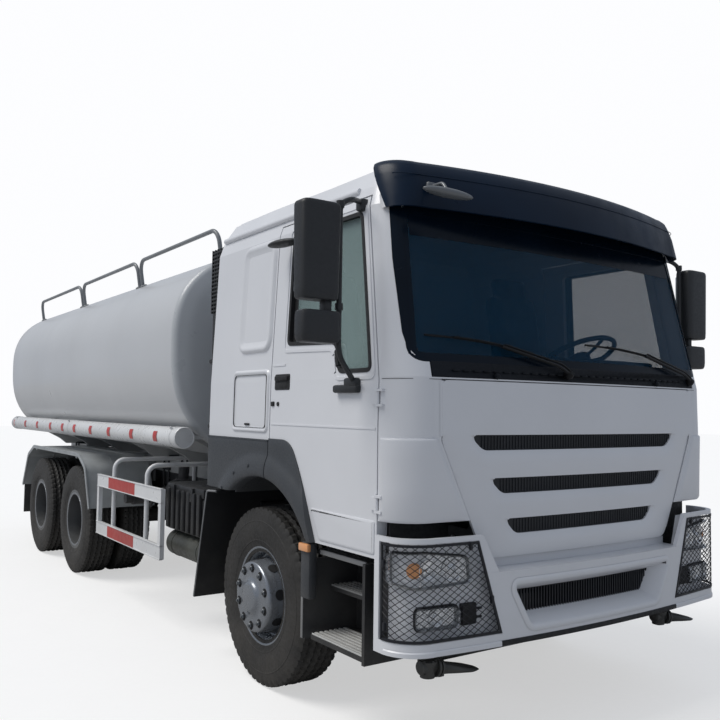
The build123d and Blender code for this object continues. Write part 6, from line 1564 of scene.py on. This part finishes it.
# ------------------------------------------------------------------ front sprinklers
# Cast duckbill nozzles on a steel feed pipe slung under the bumper.
# Water throws out sideways in a flat fan; the castings are black and wet-stained.
nozzle_iron = finish("nozzle_iron", (0.028, 0.030, 0.030), 0.42, metal=0.4, vary=0.35, patch=12, grain=150, bump=0.5,
                     dust=0.2)
flanges = bmesh.new()
add_tube(flanges, (at(1.42, -1.08, 0.508), at(1.42, 0.64, 0.508)), 0.022, 16)
for y in (-0.56, 0.56):
    add_tube(flanges, (at(1.42, y, 0.508), at(1.42, y, 0.599)), 0.018, 12)
for body_y in (-1.08, 0.64):
    add_lathe(flanges, ((-0.052, 0.022), (-0.048, 0.034), (0.0, 0.038), (0.012, 0.046), (0.026, 0.046), (0.028, 0.03)),
              at(1.458, body_y, 0.488), (0, 0, 1), 24)
    add_lathe(flanges, ((-0.05, 0.02), (-0.045, 0.031), (0.03, 0.033), (0.045, 0.028)), at(1.46, body_y, 0.487),
              (0, 1, 0), 24)
    add_lathe(flanges, ((0.0, 0.042), (0.012, 0.042), (0.012, 0.034), (0.02, 0.034), (0.02, 0.042), (0.032, 0.042)),
              at(1.466, body_y + 0.034, 0.479), (0, 1, -0.15), 24)
    for angle in circle(6):
        c, s = cos(angle), sin(angle)
        add_bolt(flanges, at(1.466 + 0.036 * c, body_y + 0.068, 0.474 + 0.036 * s), (0, 1, 0), 0.0055, 0.006)
        add_bolt(flanges, at(1.458 + 0.038 * c, body_y + 0.038 * s, 0.514), (0, 0, 1), 0.0055, 0.006)
    rows = []
    for share in [k / 16 for k in range(17)]:
        wide = 0.024 + 0.038 * sin(min(1.0, share * 1.5) * pi / 2) - 0.135 * max(0.0, share - 0.72) ** 1.2
        thick = 0.024 * (1 - share) ** 0.8 + 0.006
        rows.append([at(1.468 + wide * cos(a), body_y + 0.066 + 0.212 * share, 0.474 - 0.035 * share + thick * sin(a))
                     for a in circle(20)])
    add_sheet(flanges, rows, True, True)
piece_from(flanges, "duckbill_nozzles", "chassis", nozzle_iron, ["front_sprinklers"])

# ------------------------------------------------------------------ tail lamps and rear bar
# Long red and amber lamp strips let into the rear bar, with chevrons of red and white film below.
# The bar itself is the frame's black.
lamp_red = finish("lamp_red", (0.42, 0.012, 0.010), 0.16, vary=0.12, patch=25, grain=400, bump=0.3, Coat_Weight=0.6)
coat("tail_lamps", lamp_red)
turners = bmesh.new()
stripes = bmesh.new()
for _, side in SIDES:
    add_boxes(turners, (-7.137, side * 0.78, 0.772, -7.128, side * 0.915, 0.868, 0.004))
for k in range(12):
    y = -0.87 + 0.16 * k
    if abs(y) < 0.9:
        add_boxes(stripes, (-7.1365, y - 0.05, 0.545, -7.134, y + 0.03, 0.615, 0))
piece_from(turners, "tail_turners", "chassis", lamp_amber)
piece_from(stripes, "bar_stripes", "chassis", reflector_red)

# ------------------------------------------------------------------ view, floor and light
# A pale sweep of floor under a large soft overhead light, seen from near the right front corner.
# The camera stands at eye height and leans a little, with its frame shifted off its axis.
camera_data = bpy.data.cameras.new("view_camera")
camera = bpy.data.objects.new("view_camera", camera_data)
bpy.context.scene.collection.objects.link(camera)
yaw, pitch, roll = 2.540, 0.054, 0.014
ahead = Vector((cos(pitch) * cos(yaw), cos(pitch) * sin(yaw), sin(pitch)))
across = ahead.cross(Vector((0, 0, 1))).normalized()
upward = across.cross(ahead)
right = across * cos(roll) + upward * sin(roll)
top = upward * cos(roll) - across * sin(roll)
place = at(4.277, -3.453, 1.640)
camera.matrix_world = Matrix((
    (right.x, top.x, -ahead.x, place.x),
    (right.y, top.y, -ahead.y, place.y),
    (right.z, top.z, -ahead.z, place.z),
    (0, 0, 0, 1)))
camera_data.lens = 796 / 720 * 36
camera_data.shift_x = 0.0114
camera_data.shift_y = 0.0096
camera_data.clip_end = 200
bpy.context.scene.camera = camera
world = bpy.data.worlds.new("studio")
bpy.context.scene.world = world
world.use_nodes = True
nodes, links = world.node_tree.nodes, world.node_tree.links
backdrop = nodes["Background"]
backdrop.inputs["Color"].default_value = (0.78, 0.86, 1, 1)
backdrop.inputs["Strength"].default_value = 0.46
seen = nodes.new("ShaderNodeBackground")
seen.inputs["Color"].default_value = (0.98, 0.985, 1, 1)
seen.inputs["Strength"].default_value = 1.0
which = nodes.new("ShaderNodeLightPath")
pick = nodes.new("ShaderNodeMixShader")
for source, socket in zip((which.outputs["Is Camera Ray"], backdrop.outputs[0], seen.outputs[0]), pick.inputs):
    links.new(source, socket)
links.new(pick.outputs[0], nodes["World Output"].inputs["Surface"])
bpy.context.scene.view_settings.view_transform = "Standard"
floor = bpy.data.objects.new("floor", bpy.data.meshes.new("floor"))
ground = bmesh.new()
ground.faces.new([ground.verts.new((x, y, -0.0005)) for x, y in ((-60, -60), (60, -60), (60, 60), (-60, 60))])
ground.to_mesh(floor.data)
ground.free()
pale = finish("floor_pale", (0.42, 0.42, 0.42), 0.9, vary=0.01, Emission_Color=(1, 1, 1, 1), Specular_IOR_Level=0.1)
nodes, links = pale.node_tree.nodes, pale.node_tree.links
glow = nodes.new("ShaderNodeMath")
glow.operation = "MULTIPLY"
glow.inputs[1].default_value = 0.55
links.new(nodes.new("ShaderNodeLightPath").outputs["Is Camera Ray"], glow.inputs[0])
links.new(glow.outputs[0], nodes["Principled BSDF"].inputs["Emission Strength"])
floor.data.materials.append(pale)
bpy.context.scene.collection.objects.link(floor)
key = bpy.data.lights.new("key", "SUN")
key.energy = 2.15
key.angle = 0.6
key.color = (1, 0.97, 0.92)
key_light = bpy.data.objects.new("key", key)
key_light.rotation_euler = Vector((0.35, 0.72, -1.15)).to_track_quat("-Z", "Y").to_euler()
bpy.context.scene.collection.objects.link(key_light)
